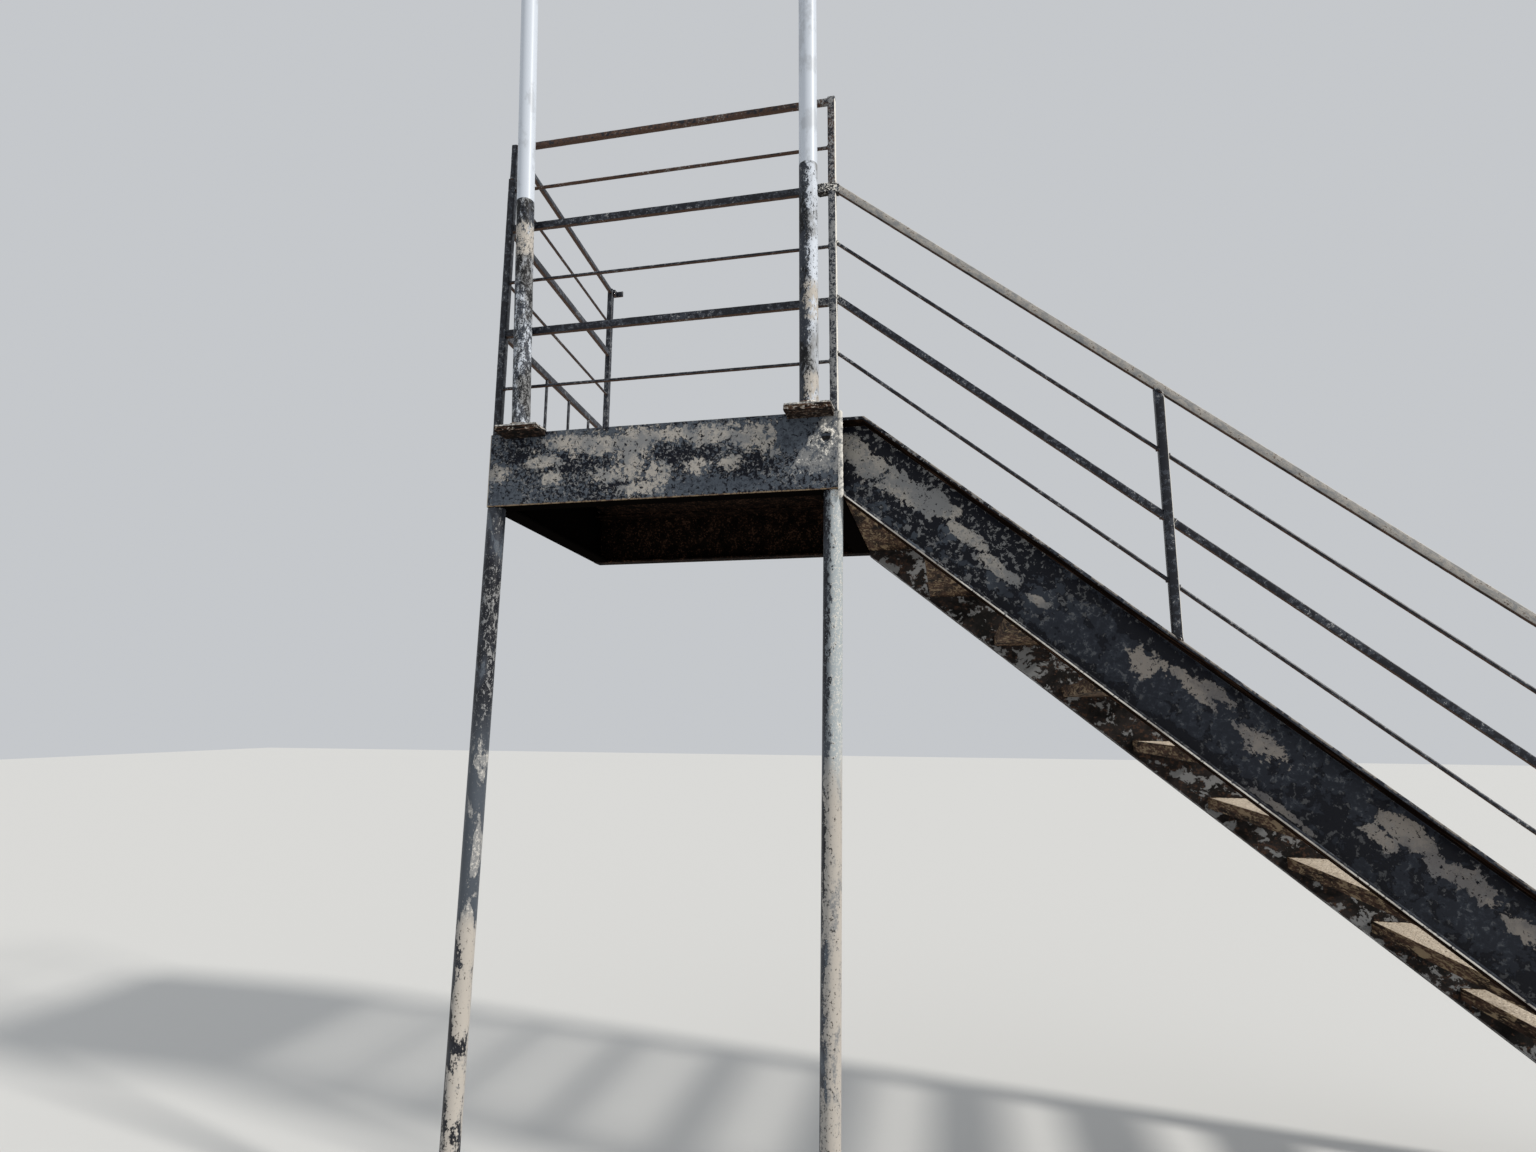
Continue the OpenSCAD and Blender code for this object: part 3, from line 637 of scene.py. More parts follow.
def burnt_and_sunlit_finish():
    """Lighter grey, pitted metal where a torch has cut, its paleness partly a painted patch of sunlight;
    black inside the hole.
    """
    f = Finish("burnt_end")
    fine = f.cloud(120.0, 5.0, 0.7)
    torn = f.cloud(40.0, 7.0, 0.68, 0.4, shift=3.0)
    # Lighter grey than the fascia: partly a painted patch of sunlight on the right end
    colour = f.blend(torn + 0.3 * fine, 0.52, 0.68, BLUE_GREY, BARE_GREY)
    middle = (HOLE[0], 0, HOLE[1])
    near = f.highest([f.patch(middle, (0.055, THROUGH, 0.060)), -0.4])
    colour = f.blend(fine + 0.5 * torn + 0.10 * near, 0.84, 0.88, colour, CHALK)
    colour = f.blend(fine + 0.3 * (torn - 0.5), 0.40, 0.37, colour, NAVY)
    proud = f.step(f.along(OUTWARD), -FRONT + 0.0035, -FRONT + 0.0055)
    colour = f.mix(proud * f.step(fine * 0.5 + torn * 0.5, 0.44, 0.50), colour, CHALK)
    # Painted black shade inside the hole, which the geometry does not open
    hole = f.patch(middle, (HOLE_WIDE, THROUGH, HOLE_HIGH))
    colour = f.blend(hole, 0.12, 0.22, colour, BLACK_SCALE_AND_SHADE)
    return f.done(colour, 0.75, f.relief(fine + torn, 0.0010), 0.3)


def steel_finish(name, dark, light):
    """Plain weathered steel for bolts and plates."""
    f = Finish(name)
    lumps = f.cloud(40.0, 7.0, 0.6)
    fine = f.cloud(200.0, 4.0, 0.6)
    colour = f.blend(lumps, 0.38, 0.62, dark, light)
    colour = f.mix(f.step(fine, 0.6, 0.66) * 0.7, colour, RUST_BROWN)
    return f.done(colour, 0.7, f.relief(lumps + 0.5 * fine, 0.0006))


def wear(name, material, edge=None):
    """Gives a CAD node its finish, and rounds its edges where a width is given."""
    mesh = nodes[name].data
    mesh.materials.clear()
    mesh.materials.append(material)
    if edge:
        soften(name, edge)


def soften(name, width):
    """Joins a CAD node's triangles and rounds its edges, as rolled and sheared steel has them."""
    obj = nodes[name]
    joined = obj.modifiers.new("joined", "WELD")
    joined.merge_threshold = 1e-5
    flat = obj.modifiers.new("flat", "DECIMATE")
    flat.decimate_type = "DISSOLVE"
    flat.angle_limit = math.radians(1)
    edge = obj.modifiers.new("edge", "BEVEL")
    edge.width = width
    edge.segments = 2
    edge.limit_method = "ANGLE"
    edge.angle_limit = math.radians(35)


def in_scene(name, data):
    """A new object of the scene, at the origin, that shows a mesh, a light or a camera."""
    obj = bpy.data.objects.new(name, data)
    bpy.context.scene.collection.objects.link(obj)
    return obj


def piece(name, shape, material, smooth=True):
    """A mesh object of the part, under the root body, from a shape: points, squares and caps.

    Squares are an array of faces with four corners each, and caps a list of faces with any number.
    """
    points, squares, caps = shape
    faces = squares.tolist() + [cap.tolist() for cap in caps]
    mesh = bpy.data.meshes.new(name)
    mesh.from_pydata(points.reshape(-1, 3).tolist(), [], faces)
    mesh.polygons.foreach_set("use_smooth", [smooth] * len(mesh.polygons))
    mesh.materials.append(material)
    mesh.update()
    obj = in_scene(name, mesh)
    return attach(obj, "root")


def quads(index):
    """Four-cornered faces between the neighbours in a grid of point numbers."""
    corners = [index[:-1, :-1], index[1:, :-1], index[1:, 1:], index[:-1, 1:]]
    return np.stack(corners, axis=-1).reshape(-1, 4)


def numbered(grid):
    """The point numbers of a grid of points."""
    rows, columns = grid.shape[:2]
    return np.arange(rows * columns).reshape(rows, columns)


def tube(rings):
    """Rings of points that close on themselves, with squares between them and a cap over each end."""
    index = numbered(rings)
    return rings, quads(np.pad(index, ((0, 0), (0, 1)), "wrap").T), [index[0, ::-1], index[-1]]


def closed_sheet(grid, axis, level):
    """A grid of points, closed by a flat back at a level of one axis and by a rim between the two."""
    index = numbered(grid)
    rim = np.concatenate([index[:, 0], index[-1, 1:], index[-2::-1, -1], index[0, -2:0:-1]])
    behind = index.size + np.arange(len(rim))
    plate = grid.reshape(-1, 3)[rim].copy()
    plate[:, axis] = level
    sides = np.pad(np.stack([behind, rim], axis=1), ((0, 1), (0, 0)), "wrap")
    squares = np.concatenate([quads(index), quads(sides)])
    return np.concatenate([grid.reshape(-1, 3), plate]), squares, [behind[::-1]]


def joined(shapes):
    """One shape from several."""
    points, squares, caps, offset = [], [], [], 0
    for part_points, part_squares, part_caps in shapes:
        flat = part_points.reshape(-1, 3)
        points.append(flat)
        squares.append(part_squares + offset)
        caps += [cap + offset for cap in part_caps]
        offset += len(flat)
    return np.concatenate(points), np.concatenate(squares), caps


def circle(sides):
    """Angles of evenly spaced points on a circle."""
    return np.arange(sides) * 2 * math.pi / sides


def rounded_bar(width, depth, radius=0.002, corner_steps=3):
    """Outline of a bar: a rectangle about zero with an arc of a circle at each corner."""
    turn = np.linspace(0, math.pi / 2, corner_steps)
    outline = []
    for k, (sx, sy) in enumerate([(1, 1), (-1, 1), (-1, -1), (1, -1)]):
        angle = turn + k * math.pi / 2
        centre = np.array([sx * (width / 2 - radius), sy * (depth / 2 - radius)])
        outline.append(centre + radius * np.stack([np.cos(angle), np.sin(angle)], axis=-1))
    return np.concatenate(outline)


def round_bar(diameter, sides=14):
    """Outline of a rod: points on a circle."""
    angle = circle(sides)
    return diameter / 2 * np.stack([np.cos(angle), np.sin(angle)], axis=-1)


POST_OUTLINE = rounded_bar(POST, POST, 0.004)
RAIL_OUTLINE = rounded_bar(RAIL_THICK, RAIL_DEPTH, 0.0025)
FLAT_OUTLINE = rounded_bar(RAIL_THICK, FLAT_DEPTH, 0.0025)
ROD_OUTLINE = round_bar(ROD)


def waves(points, size, seed, count=24):
    """Smooth noise from -1 to 1: a sum of plane waves in chance directions, size metres long or less."""
    chance = np.random.default_rng(seed)
    direction = chance.normal(size=(count, 3))
    direction /= np.linalg.norm(direction, axis=1, keepdims=True)
    pace = 2 * math.pi / (size * chance.uniform(0.35, 1.0, count))
    phase = chance.uniform(0, 2 * math.pi, count)
    total = np.cos(points @ (direction * pace[:, None]).T + phase).sum(axis=-1)
    return np.clip(total / math.sqrt(count) / 1.6, -1, 1)


def bumps(points, size, seed, count=24):
    """The same noise from 0 to 1."""
    return 0.5 + 0.5 * waves(points, size, seed, count)


def square_to(axis, helper=None):
    """Two unit vectors square to an axis and to each other, the first of them square to a helper too."""
    if helper is None:
        helper = np.where(np.abs(axis[..., 2:]) < 0.9, UPWARD, INWARD)
    side = np.cross(helper, axis)
    side = side / np.linalg.norm(side, axis=-1, keepdims=True)
    return side, np.cross(axis, side)


def carried(outline, start, end, up, dent=0.0, seed=0, pitch=0.012):
    """Rings of an outline carried from start to end in a straight line, pushed in by noise up to dent."""
    start, end = np.asarray(start, float), np.asarray(end, float)
    length = np.linalg.norm(end - start)
    side, top = square_to((end - start) / length, up)
    places = np.linspace(start, end, max(2, int(length / pitch) + 1))
    flat = outline[:, :1] * side + outline[:, 1:] * top
    rings = places[:, None, :] + flat
    if dent:
        inward = -flat / np.linalg.norm(flat, axis=1, keepdims=True)
        amount = dent * bumps(rings, 0.05, seed)
        rings = rings + amount[..., None] * inward
    return rings


def bar(outline, start, end, up=UPWARD, dent=BAR_DENT, seed=0):
    """One straight bar."""
    return tube(carried(outline, start, end, up, dent, seed))


def upright(outline, x, y, low, high, seed, dent=BAR_DENT):
    """A bar that stands at x and y between two heights."""
    return bar(outline, (x, y, low), (x, y, high), INWARD, dent, seed)


def collar(centre, axis, wide, high, fat, seed):
    """Weld round a bar's end: a lumpy tube on an ellipse about the bar, its two ends joined."""
    axis = np.asarray(axis, float) / np.linalg.norm(axis)
    side, up = square_to(axis)
    turn = circle(24)[:, None, None]
    spin = circle(8)[None, :, None]
    out = np.cos(turn) * side + np.sin(turn) * up
    middle = wide / 2 * np.cos(turn) * side + high / 2 * np.sin(turn) * up + np.asarray(centre, float)
    swell = fat * (1 + 0.45 * waves(middle, 0.012, seed))[..., None]
    points = middle + swell * (np.cos(spin) * out + np.sin(spin) * axis)
    return points, quads(np.pad(numbered(points), (0, 1), "wrap")), []


def front_guard_bars():
    """Posts, rails and rods of the front guard; a thinner piece is welded on top of its corner post."""
    splice = rounded_bar(SPLICE, SPLICE, 0.003)
    parts = [
        upright(POST_OUTLINE, CORNER, GUARD_LINE, DECK, SPLICE_AT, 1),
        upright(splice, CORNER, GUARD_LINE, SPLICE_AT - POST, DECK + RAISED_RAIL, 7, 2 * BAR_DENT),
        upright(POST_OUTLINE, NEWEL, GUARD_LINE, DECK, DECK + OLD_RAIL, 2),
        collar((CORNER, GUARD_LINE, SPLICE_AT), UPWARD, SPLICE, SPLICE, 0.005, 8),
    ]
    levels = [(OLD_RAIL - RAIL_DEPTH / 2, RAIL_OUTLINE, 3), (MIDDLE_BAR - RAIL_DEPTH / 2, RAIL_OUTLINE, 4),
              (UPPER_ROD, ROD_OUTLINE, 5), (LOW_ROD, ROD_OUTLINE, 6)]
    for height, outline, seed in levels:
        z = DECK + height
        wide, deep = np.ptp(outline, axis=0)
        parts.append(bar(outline, (CORNER, GUARD_LINE, z), (NEWEL, GUARD_LINE, z), seed=seed))
        for k, x in enumerate((CORNER + POST / 2, NEWEL - POST / 2)):
            parts.append(collar((x, GUARD_LINE, z), RIGHTWARD, wide, deep, WELD, 10 * seed + k))
    return joined(parts)


def raised_guard_bars():
    """Raised rail, its rod and its upright over the newel."""
    left = CORNER + SPLICE / 2
    top = DECK + RAISED_RAIL
    z = top - FLAT_DEPTH / 2
    rod_z = DECK + RAISED_ROD
    return joined([
        bar(FLAT_OUTLINE, (left, GUARD_LINE, z), (NEWEL, GUARD_LINE, z), seed=11),
        bar(ROD_OUTLINE, (left, GUARD_LINE, rod_z), (NEWEL, GUARD_LINE, rod_z), dent=ROD_DENT, seed=12),
        upright(POST_OUTLINE, NEWEL, GUARD_LINE, DECK + OLD_RAIL, top, 13),
        collar((NEWEL - POST / 2, GUARD_LINE, z), RIGHTWARD, RAIL_THICK, FLAT_DEPTH, WELD, 14),
        collar((NEWEL - POST / 2, GUARD_LINE, rod_z), RIGHTWARD, ROD, ROD, WELD, 15),
    ])


def stair_top(x):
    """Height of the stringer's sloping top edge at x."""
    return TOP_LINE - (x - RIGHT) * TAN


def sloping(outline, x1, x2, height, seed):
    """A bar parallel to the flight, cut plumb, with its middle at a height over the stringer's top edge."""
    start, end = ((x, GUARD_LINE, stair_top(x) + height) for x in (x1, x2))
    rings = carried(outline, start, end, UPWARD, BAR_DENT, seed)
    for ring, x in ((0, x1), (-1, x2)):
        shift = x - rings[ring, :, 0]
        rings[ring, :, 0] = x
        rings[ring, :, 2] -= shift * TAN
    return tube(rings)


def stair_guard_bars():
    """Rods, flat bar and posts of the stair guard, welded where they meet."""
    head = GUARD_HIGH[0]
    foot = STAIR_END - POST / 2
    posts = np.linspace(NEWEL, foot, STAIR_BAYS + 1)
    under_rail = HANDRAIL - HANDRAIL_DEPTH / COS
    members = [(ROD_OUTLINE, STAIR_ROD_1, 21), (ROD_OUTLINE, STAIR_ROD_2, 22),
               (FLAT_OUTLINE, STAIR_BAR - FLAT_DEPTH / 2 / COS, 23)]
    parts = []
    for outline, height, seed in members:
        wide, deep = np.ptp(outline, axis=0)
        parts.append(sloping(outline, head, foot, height, seed))
        for k, x in enumerate(posts):
            for face in (x - POST / 2, x + POST / 2):
                if head - 0.001 < face < foot:
                    place = (face, GUARD_LINE, stair_top(face) + height)
                    parts.append(collar(place, DOWN_SLOPE, wide, deep, WELD, 10 * seed + k))
    for k, x in enumerate(posts[1:]):
        start = stair_top(x + POST / 2)
        rings = carried(POST_OUTLINE, (x, GUARD_LINE, start), (x, GUARD_LINE, start + under_rail), INWARD,
                        BAR_DENT, 31 + k)
        rings[..., 2] += (x + POST / 2 - rings[..., 0]) * TAN
        parts.append(tube(rings))
        for height, seed in ((0, 35), (under_rail, 36)):
            place = (x, GUARD_LINE, stair_top(x) + height)
            parts.append(collar(place, OFF_SLOPE, POST, POST, 0.004, seed + k))
    return joined(parts)


def handrail_bar():
    """The handrail along the flight."""
    flat = rounded_bar(RAIL_THICK, HANDRAIL_DEPTH, 0.003)
    return sloping(flat, GUARD_HIGH[0], STAIR_END, HANDRAIL - HANDRAIL_DEPTH / 2 / COS, 24)


def handrail_head():
    """The lump of weld that wraps the handrail's head round the newel.

    It is a short bar whose middle sinks towards its low end. Its section shrinks near both ends and is
    pitted by noise.
    """
    head = rounded_bar(HEAD_WIDE, HEAD_DEEP, 0.007, 5)
    z = DECK + OLD_RAIL - HEAD_DEEP / 2 + 0.004
    rings = carried(head, (HEAD_FROM, GUARD_LINE, z), (HEAD_TO, GUARD_LINE, z), UPWARD, pitch=0.003)
    x = rings[..., 0]
    sag_from = GUARD_HIGH[0] - 0.010
    rings[..., 2] -= 0.008 * np.clip((x - sag_from) / (HEAD_TO - sag_from), 0, 1)
    to_end = np.minimum(x - HEAD_FROM, HEAD_TO - x)
    hug = 1 - 0.16 * np.clip(1 - to_end / 0.006, 0, 1)
    for axis, middle in ((1, GUARD_LINE), (2, z)):
        pitted = 0.95 - 0.05 * waves(rings, 0.018, 25)
        rings[..., axis] = middle + (rings[..., axis] - middle) * hug * pitted
    return tube(rings)


def side_guard_bars():
    """Skewed side guard: rails, rods and pickets, and a back post with a lug and a strut at its top."""
    corner = np.array([CORNER, GUARD_LINE])
    back = np.array([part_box("side_guard")[0][0] + POST / 2, -BACK_POST_IN])
    length = np.linalg.norm(back - corner)
    way = (back - corner) / length
    to_post = POST / 2 / way[1]

    def at(distance, height):
        return (*(corner + way * distance), DECK + height)

    old, middle = OLD_RAIL - RAIL_DEPTH / 2, MIDDLE_BAR - RAIL_DEPTH / 2
    parts = [upright(POST_OUTLINE, *back, DECK, DECK + RAISED_RAIL, 46)]
    levels = [
        (FLAT_OUTLINE, to_post / 2, RAISED_RAIL - FLAT_DEPTH / 2), (ROD_OUTLINE, to_post, RAISED_ROD),
        (RAIL_OUTLINE, to_post, old), (ROD_OUTLINE, to_post, UPPER_ROD), (RAIL_OUTLINE, to_post, middle),
    ]
    for k, (outline, first, height) in enumerate(levels):
        parts.append(bar(outline, at(first, height), at(length, height), seed=41 + k))
    welds = [(old, RAIL_DEPTH), (middle, RAIL_DEPTH), (RAISED_ROD, ROD), (UPPER_ROD, ROD)]
    for k, (height, deep) in enumerate(welds):
        for side, distance in enumerate((to_post, length - to_post)):
            wide = min(deep, RAIL_THICK)
            parts.append(collar(at(distance, height), (*way, 0), wide, deep, WELD, 410 + 2 * k + side))
    for k, distance in enumerate(np.arange(length - PICKET_GAP, PICKET_GAP / 2, -PICKET_GAP)):
        place = corner + way * distance
        parts.append(upright(ROD_OUTLINE, *place, DECK, DECK + middle, 50 + k, ROD_DENT))
    z = DECK + RAISED_RAIL - RAIL_DEPTH / 2
    lug = rounded_bar(RAIL_THICK / 2, RAIL_DEPTH)
    y_lug = -RAIL_THICK / 4
    parts.append(bar(lug, (back[0], y_lug, z), (back[0] + 2 * POST, y_lug, z), seed=47))
    strut = rounded_bar(RAIL_THICK, RAIL_DEPTH)
    x_strut = back[0] + (POST / 2 + RAIL_THICK) / 2
    parts.append(bar(strut, (x_strut, back[1], z), (x_strut, -RAIL_THICK / 2, z), seed=48))
    return joined(parts)


def concrete_block(low, high, seed, pitch=0.007, depth=0.003):
    """A slab with plain sides whose top, a grid of this pitch, is lowered by noise up to a depth."""
    xs, ys = (np.linspace(low[k], high[k], int((high[k] - low[k]) / pitch) + 1) for k in (0, 1))
    x, y = np.meshgrid(xs, ys, indexing="ij")
    top = np.stack([x, y, np.full_like(x, high[2])], axis=-1)
    top[..., 2] -= depth * (0.5 + 0.35 * waves(top, 0.012, seed) + 0.15 * waves(top, 0.09, seed + 1))
    return closed_sheet(top, 2, low[2])


def crusted_bracket(name, seed, pitch=0.0018):
    """A bracket eaten by rust: its side outline is resampled, carried along X, and pushed in by noise.

    The noise has two parts: leaves, which are long along X and thin along Z, and small lumps. It grows
    from the fascia's face to the bracket's front, and is stronger below. The two ends are nibbled too.
    """
    low, high = (np.array(corner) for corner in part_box(name))
    thin = high[2] - DECK
    corners = np.array([
        [low[1], low[2]], [FRONT, low[2]], [FRONT, DECK],
        [high[1], DECK], [high[1], high[2]], [low[1], high[2]],
    ])
    outline, inward = [], []
    for a, b in zip(corners, np.roll(corners, -1, axis=0)):
        steps = max(2, int(np.linalg.norm(b - a) / pitch))
        outline.append(a + np.arange(steps)[:, None] / steps * (b - a))
        normal = np.array([a[1] - b[1], b[0] - a[0]])
        inward.append(np.repeat([normal / np.linalg.norm(normal)], steps, axis=0))
    outline = np.concatenate(outline)
    inward = np.concatenate(inward)
    for _ in range(3):
        inward = inward + 0.5 * (np.roll(inward, 1, axis=0) + np.roll(inward, -1, axis=0))
    inward /= np.linalg.norm(inward, axis=1, keepdims=True)
    xs = np.linspace(low[0], high[0], int((high[0] - low[0]) / pitch))
    rings = np.empty((len(xs), len(outline), 3))
    rings[..., 0] = xs[:, None]
    rings[..., 1:] = outline
    leaves = bumps(rings * np.array([0.35, 1.0, 3.2]), 0.030, seed)
    grains = bumps(rings, 0.012, seed + 1)
    front = np.clip((FRONT - rings[..., 1]) / (FRONT - low[1]), 0, 1)
    under = np.clip((DECK - rings[..., 2]) / (DECK - low[2]), 0, 1)
    amount = 0.0008 + front * (0.0035 * leaves + 0.0015 * grains) + under * front * 0.004 * leaves
    rings[..., 1:] += np.minimum(amount, thin * 0.45)[..., None] * inward
    at_end = np.minimum(np.arange(len(xs)), np.arange(len(xs))[::-1])[:, None] < 2
    nibble = 0.004 * bumps(rings, 0.02, seed + 2) * at_end
    rings[..., 0] += np.sign((low[0] + high[0]) / 2 - rings[..., 0]) * nibble
    return tube(rings)


def bead(path, radius, ripple, flatten, seed):
    """A weld bead: a flattened tube along a path whose radius swells where its runs overlap."""
    path = np.asarray(path, float)
    lengths = np.concatenate([[0], np.cumsum(np.linalg.norm(np.diff(path, axis=0), axis=1))])
    s = np.linspace(0, lengths[-1], max(4, int(lengths[-1] / (ripple / 2))))
    line = np.stack([np.interp(s, lengths, path[:, k]) for k in range(3)], axis=-1)
    axis = np.gradient(line, axis=0)
    side, up = square_to(axis / np.linalg.norm(axis, axis=1, keepdims=True))
    angle = circle(10)[None, :, None]
    swell = 1 + 0.03 * np.cos(2 * math.pi * s / ripple) + 0.14 * waves(line, 0.020, seed)
    ends = np.clip(np.minimum(s, lengths[-1] - s) / radius, 0, 1)
    size = radius * swell * np.sqrt(1 - (1 - ends) ** 2 * 0.9)
    ring = np.cos(angle) * side[:, None, :] + flatten * np.sin(angle) * up[:, None, :]
    return tube(line[:, None, :] + size[:, None, None] * ring)


def turned(profile, centre, sides, up=1.0, phase=0.0):
    """A profile of radius and height turned about a vertical line, closed at both ends."""
    angle = circle(sides) + phase
    profile = np.asarray(profile, float)
    flat = profile[:, None, :1] * np.stack([np.cos(angle), np.sin(angle)], axis=-1)
    height = np.broadcast_to(profile[:, 1:] * up, flat.shape[:2])
    outline = np.concatenate([flat, height[..., None]], axis=-1) + np.asarray(centre, float)
    rings, squares, caps = tube(outline)
    if up < 0:
        squares, caps = squares[:, ::-1], [cap[::-1] for cap in caps]
    return rings, squares, caps


def anchor(centre, up=1.0):
    """Washer, hexagon nut with a chamfer, and the end of its bolt."""
    size = WASHER
    washer = [(size, 0), (size, 0.0022), (size * 0.95, 0.0026), (size * 0.4, 0.0026)]
    nut = [(size * 0.80, 0.0026), (size * 0.86, 0.0040), (size * 0.86, 0.0120), (size * 0.74, 0.0135)]
    stud = [(size * 0.42, 0.0130), (size * 0.42, 0.0220), (size * 0.34, 0.0240)]
    return [turned(washer, centre, 20, up), turned(nut, centre, 6, up, 0.4), turned(stud, centre, 12, up)]


def anchors():
    """Anchors through the plates on the ground, and bolt heads under the plates on top of the tall posts."""
    parts = []
    for mount in frame["record"]["mounts"]:
        if mount["kind"] != "bolt_pattern":
            continue
        x, y, z = mount["pos_m"]
        dx, dy = (mount["dims"][f"spacing_{axis}_mm"] / 2000 for axis in "xy")
        stands = mount["axis"][2] < 0
        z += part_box("foot_plate_outer")[1][2] - GROUND if stands else -CAP_THICK
        for sx in (-1, 1):
            for sy in (-1, 1):
                parts += anchor((x + sx * dx, y + sy * dy, z), 1.0 if stands else -1.0)
    for name in ("foot_plate_outer", "foot_plate_inner"):
        low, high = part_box(name)
        x, y = (low[0] + high[0]) / 2, (low[1] + high[1]) / 2
        for sx in (-1, 1):
            parts += anchor((x + sx * FOOT_ANCHOR, y, high[2]))
    return joined(parts)


def burnt_patch():
    """The burnt end of the fascia: height over its face as a function of X and Z.

    Right of a slanting ridge the metal is built up and pitted. The height is a band of noise there, plus a
    bell-shaped ridge along the slant, plus a ragged ring about the hole with a tongue of metal in it. Where
    it is nothing, the skin lies just inside the steel.
    """
    pitch = 0.0016
    xs = np.arange(BURNT_FROM, RIGHT - 0.0005, pitch)
    zs = np.arange(UNDER + 0.003, DECK - 0.002, pitch)
    x, z = np.meshgrid(xs, zs, indexing="ij")
    flat = np.stack([x, np.zeros_like(x), z], axis=-1)
    fine = bumps(flat, 0.010, 92, 40)
    broad = bumps(flat, 0.040, 93)

    slant = np.subtract(RIDGE_FOOT, RIDGE_TOP)
    slant = slant / np.linalg.norm(slant)
    beyond = (z - RIDGE_TOP[1]) * slant[0] - (x - RIDGE_TOP[0]) * slant[1] + 0.004 * waves(flat, 0.05, 91)
    lower = np.clip((z + 0.10) / 0.06, 0, 1)
    height = np.clip(beyond / 0.012, 0, 1) * lower * (0.0006 + 0.0014 * fine * broad)
    ridge = np.exp(-(beyond / 0.0045) ** 2) * np.clip((z + 0.075) / 0.04, 0, 1)
    height = height + 0.0030 * ridge * (0.4 + 0.6 * broad) * (0.6 + 0.4 * fine)

    across, up = (x - HOLE[0]) / HOLE_WIDE, (z - HOLE[1]) / HOLE_HIGH
    angle = np.arctan2(up, across)
    ragged = np.hypot(across, up) + 0.14 * np.cos(3 * angle + 1.0) + 0.10 * np.cos(5 * angle)
    lip = np.exp(-((ragged - 1.18) / (0.22 + 0.12 * broad)) ** 2)
    height = height + lip * (0.0050 + 0.0040 * np.cos(angle - 0.8)) * (0.35 + 0.65 * fine)
    spill = np.exp(-((ragged - 1.6) / 0.6) ** 2) * 0.002 * fine
    inside = 0.0004 + (height - 0.0004) * np.clip(ragged - 0.72, 0, 1) / 0.28
    height = np.where(ragged < 1, inside, height + spill)
    tongue = np.exp(-((across + 0.1) / 0.75) ** 2 - ((up + 0.15) / 0.20) ** 2)
    height = height + 0.004 * tongue * fine

    proud = np.clip((height - 0.0003) / 0.0004, 0, 1)
    height = height * proud - 0.0006 * (1 - proud)
    return closed_sheet(np.stack([x, FRONT - height, z], axis=-1), 1, FRONT + 0.0012)


def foot_welds():
    """Two rings of weld round the foot of each tall post, where it stands on its bracket."""
    parts = []
    for k, side in enumerate(("left", "right")):
        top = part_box(f"canopy_bracket_{side}")[1][2]
        points = np.array([v.co for v in nodes[f"canopy_post_{side}"].data.vertices])
        foot = points[points[:, 2] < top + 0.001]
        x, y = ((foot.min(axis=0) + foot.max(axis=0)) / 2)[:2]
        pipe = foot[:, 0].max() - foot[:, 0].min()
        for rise, wider, fat, seed in ((0.002, 0.0, 0.0055, 84), (0.0, 0.012, 0.0045, 86)):
            parts.append(collar((x, y, top + rise), UPWARD, pipe + wider, pipe + wider, fat, seed + k))
    return joined(parts)


def dress_landing(concrete):
    """Painted channels, a rusty underside darkened as painted shade, and the deck's concrete."""
    fascia = fascia_finish()
    # Rust near black under the landing, as painted shade
    deck_rust = rusty_finish("deck_rust", BLACK_SCALE_AND_SHADE, RUST_DARK, RUST_BROWN, -0.08, RUST_BROWN)
    for name in ("landing_fascia", "landing_left_channel", "landing_right_channel"):
        wear(name, fascia, CHANNEL_EDGE)
    wear("landing_wall_channel", deck_rust, CHANNEL_EDGE)
    for name in ("landing_ledger_front", "landing_ledger_wall", "landing_pan"):
        wear(name, deck_rust, SHEET_EDGE)
    wear("landing_slab", concrete)


def dress_flight(concrete):
    """Stringers, pans, and the pitted concrete in each pan."""
    wear("stringer_outer", stringer_finish(), CHANNEL_EDGE)
    inner = rusty_finish("inner_rust", BLACK_SCALE_AND_SHADE, WEB_RUST, RUST_BROWN, 0.09, BARE_GREY, 0.3, (0.5, 1, 0.6))
    wear("stringer_inner", inner, CHANNEL_EDGE)
    pan = rusty_finish("pan_rust", RUST_DARK, RUST_BROWN, RUST_YELLOW, 0.06, RUST_YELLOW, 0.1, (1, 0.3, 1.5))
    for k in range(1, STEPS + 2):
        wear(f"tread_pan_{k:02d}", pan, SHEET_EDGE)
        wear(f"tread_fill_{k:02d}", concrete)
        block = concrete_block(*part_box(f"tread_fill_{k:02d}"), 60 + k)
        top = piece(f"tread_concrete_{k:02d}", block, concrete, smooth=False)
        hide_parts(f"tread_fill_{k:02d}")


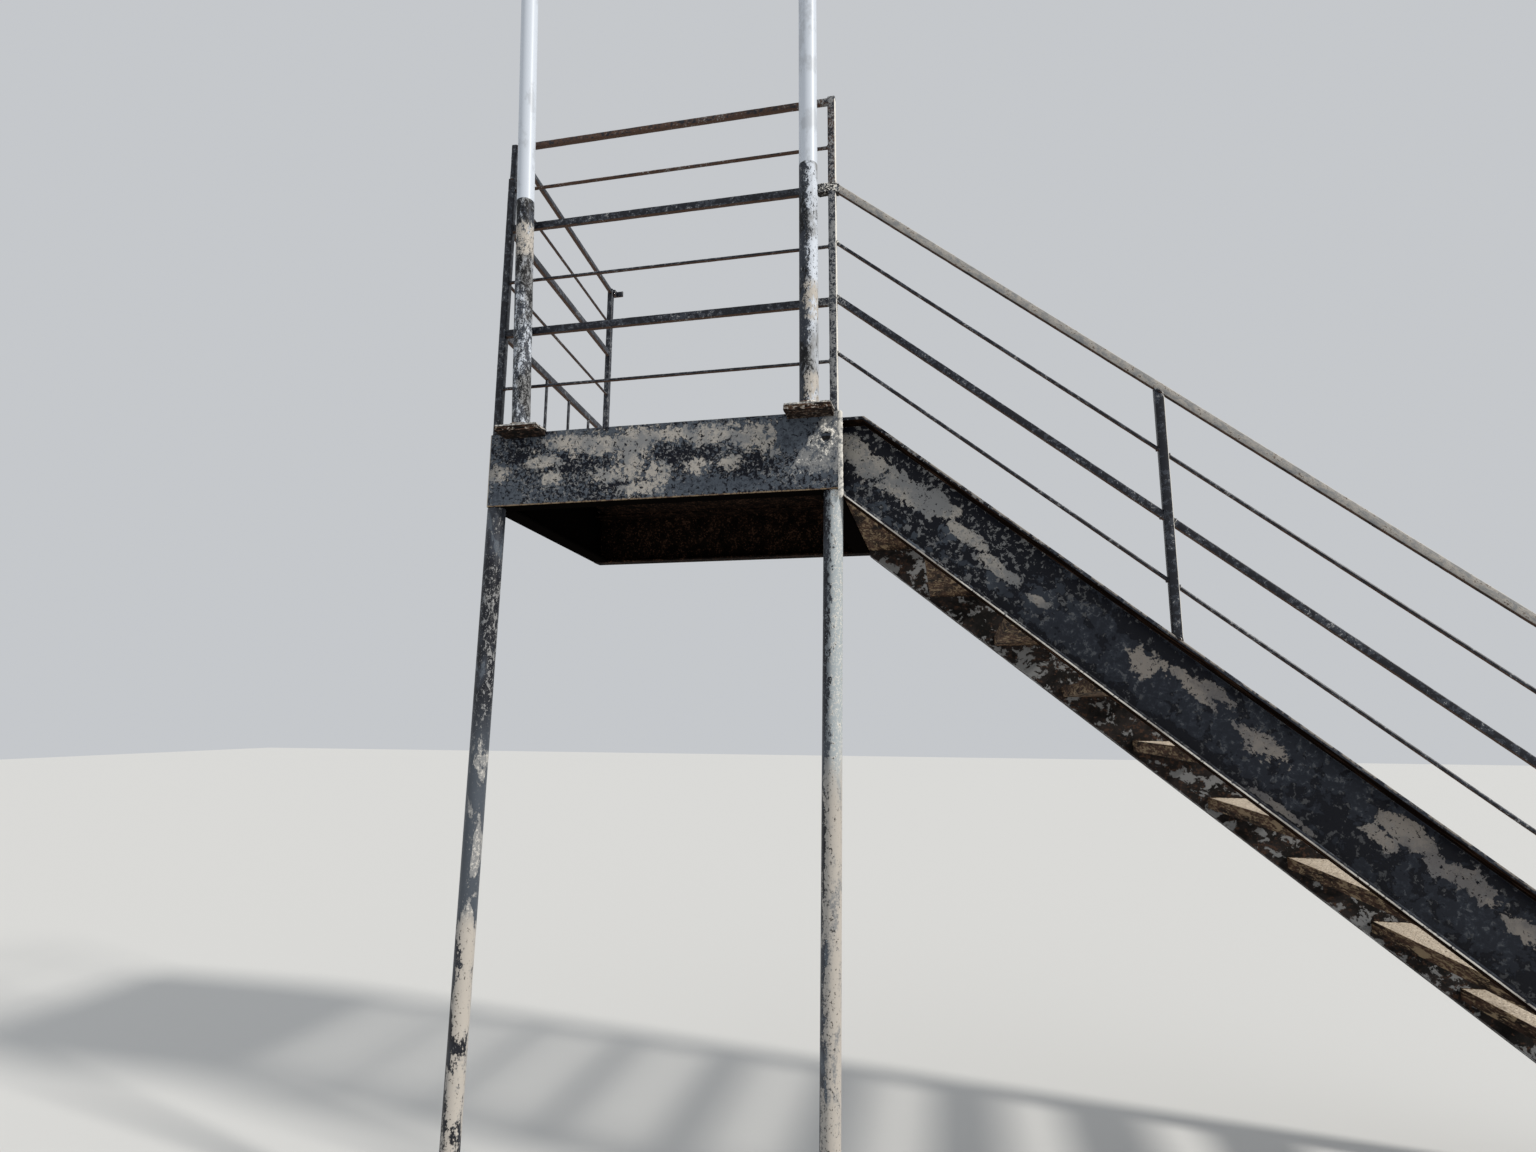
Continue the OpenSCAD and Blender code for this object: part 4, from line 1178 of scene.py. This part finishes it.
def dress_posts():
    """Pipes, their plates and anchors, and the rust-eaten brackets."""
    wear("post_left", pipe_finish("left_pipe_paint", BARE_GREY, share=0.070, shaded_side_extra=0.02, kept=0.055,
                                  cream_from=-1.46, reach=0.03))
    wear("post_right", pipe_finish("right_pipe_paint", PALE_COAT, share=-0.03, shaded_side_extra=0.17, kept=0.10,
                                   cream_from=-0.98, reach=0.10))
    wear("canopy_post_left", tall_post_finish("left_canopy_paint", line=0.967, band_deep=0.08,
                                              cream=(0.77, 0.87), foot=-1.0, shaded_side_extra=0.02))
    wear("canopy_post_right", tall_post_finish("right_canopy_paint", line=0.960, band_deep=0.01,
                                               cream=(0.43, 0.53), foot=0.235, shaded_side_extra=0.15))
    plates = steel_finish("plate_steel", RUST_DARK, BLUE_GREY)
    wear("foot_plate_outer", plates)
    wear("foot_plate_inner", plates)
    for k, side in enumerate(("left", "right")):
        name = f"canopy_bracket_{side}"
        crust = bracket_finish(f"{side}_bracket_rust", 0.04 * k)
        wear(name, crust)
        made = piece(f"crusted_{name}", crusted_bracket(name, 70 + 5 * k), crust)
        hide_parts(name)
    piece("anchor_bolts", anchors(), plates, smooth=False)


def dress_guards():
    """The guards' bars in place of their plain solids, and the handrail."""
    paint = rail_finish("rail_paint", 0.0)
    raised_paint = rail_finish("raised_rail_paint", 0.20)
    made = {
        "front_guard": ("front_guard_bars", front_guard_bars(), paint),
        "front_guard_extension": ("raised_guard_bars", raised_guard_bars(), raised_paint),
        "side_guard": ("side_guard_bars", side_guard_bars(), paint),
        "stair_guard": ("stair_guard_bars", stair_guard_bars(), paint),
    }
    for node, (name, shape, coat) in made.items():
        wear(node, coat)
        obj = piece(name, shape, coat)
        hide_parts(node)
    piece("handrail", handrail_bar(), handrail_finish())
    piece("handrail_head", handrail_head(), head_finish())


def dress_welds():
    """The burnt end of the fascia, partly a painted patch of sunlight, and the welds that show."""
    piece("burnt_end", burnt_patch(), burnt_and_sunlit_finish())
    strip = [(RIGHT + 0.007, FRONT + 0.001, z) for z in np.linspace(UNDER - 0.028, DECK - 0.001, 24)]
    piece("head_weld", bead(strip, 0.0080, 0.014, 0.4, 81), weld_finish())
    crust = rusty_finish("foot_crust", RUST_BROWN, BARE_GREY, RUST_YELLOW, 0.10)
    piece("canopy_foot_welds", foot_welds(), crust)


def pale_floor():
    """A level square under the feet."""
    turns = ((-1, -1), (1, -1), (1, 1), (-1, 1))
    corners = [(sx * FLOOR_REACH, sy * FLOOR_REACH, GROUND) for sx, sy in turns]
    mesh = bpy.data.meshes.new("floor")
    mesh.from_pydata(corners, [], [(0, 1, 2, 3)])
    mesh.materials.append(Finish("studio_floor").done(FLOOR_GREY, 0.9))
    floor = in_scene("floor", mesh)


def studio():
    """Even pale light from all round, and a soft key light from the upper right."""
    world = bpy.data.worlds.new("studio")
    world.use_nodes = True
    sky = world.node_tree.nodes["Background"]
    sky.inputs["Color"].default_value = (0.93, 0.96, 1.0, 1)
    sky.inputs["Strength"].default_value = 0.60
    bpy.context.scene.world = world
    key = bpy.data.lights.new("key", "SUN")
    key.energy = 3.0
    key.color = (1.0, 0.96, 0.9)
    key.angle = 0.10
    obj = in_scene("key", key)
    obj.location = KEY_PLACE
    obj.rotation_mode = "QUATERNION"
    obj.rotation_quaternion = (-Vector(KEY_PLACE)).to_track_quat("-Z", "Y")
    bpy.context.scene.view_settings.view_transform = "Standard"


def camera():
    """The camera at the photograph's place: its axes follow from yaw, pitch and roll."""
    forward = np.array([-math.sin(YAW) * math.cos(PITCH), math.cos(YAW) * math.cos(PITCH), math.sin(PITCH)])
    level = np.array([math.cos(YAW), math.sin(YAW), 0.0])
    above = np.cross(level, forward)
    right = math.cos(ROLL) * level + math.sin(ROLL) * above
    up = -math.sin(ROLL) * level + math.cos(ROLL) * above
    data = bpy.data.cameras.new("camera")
    data.sensor_width = 36.0
    data.lens = FOCAL * data.sensor_width / PHOTO_WIDTH
    obj = in_scene("camera", data)
    axes = np.eye(4)
    axes[:3] = np.stack([right, up, -forward, CAMERA_PLACE], axis=1)
    obj.matrix_world = Matrix(axes.tolist())
    bpy.context.scene.camera = obj


washed = concrete_finish()
dress_landing(washed)
dress_flight(washed)
dress_posts()
dress_guards()
dress_welds()
pale_floor()
studio()
camera()
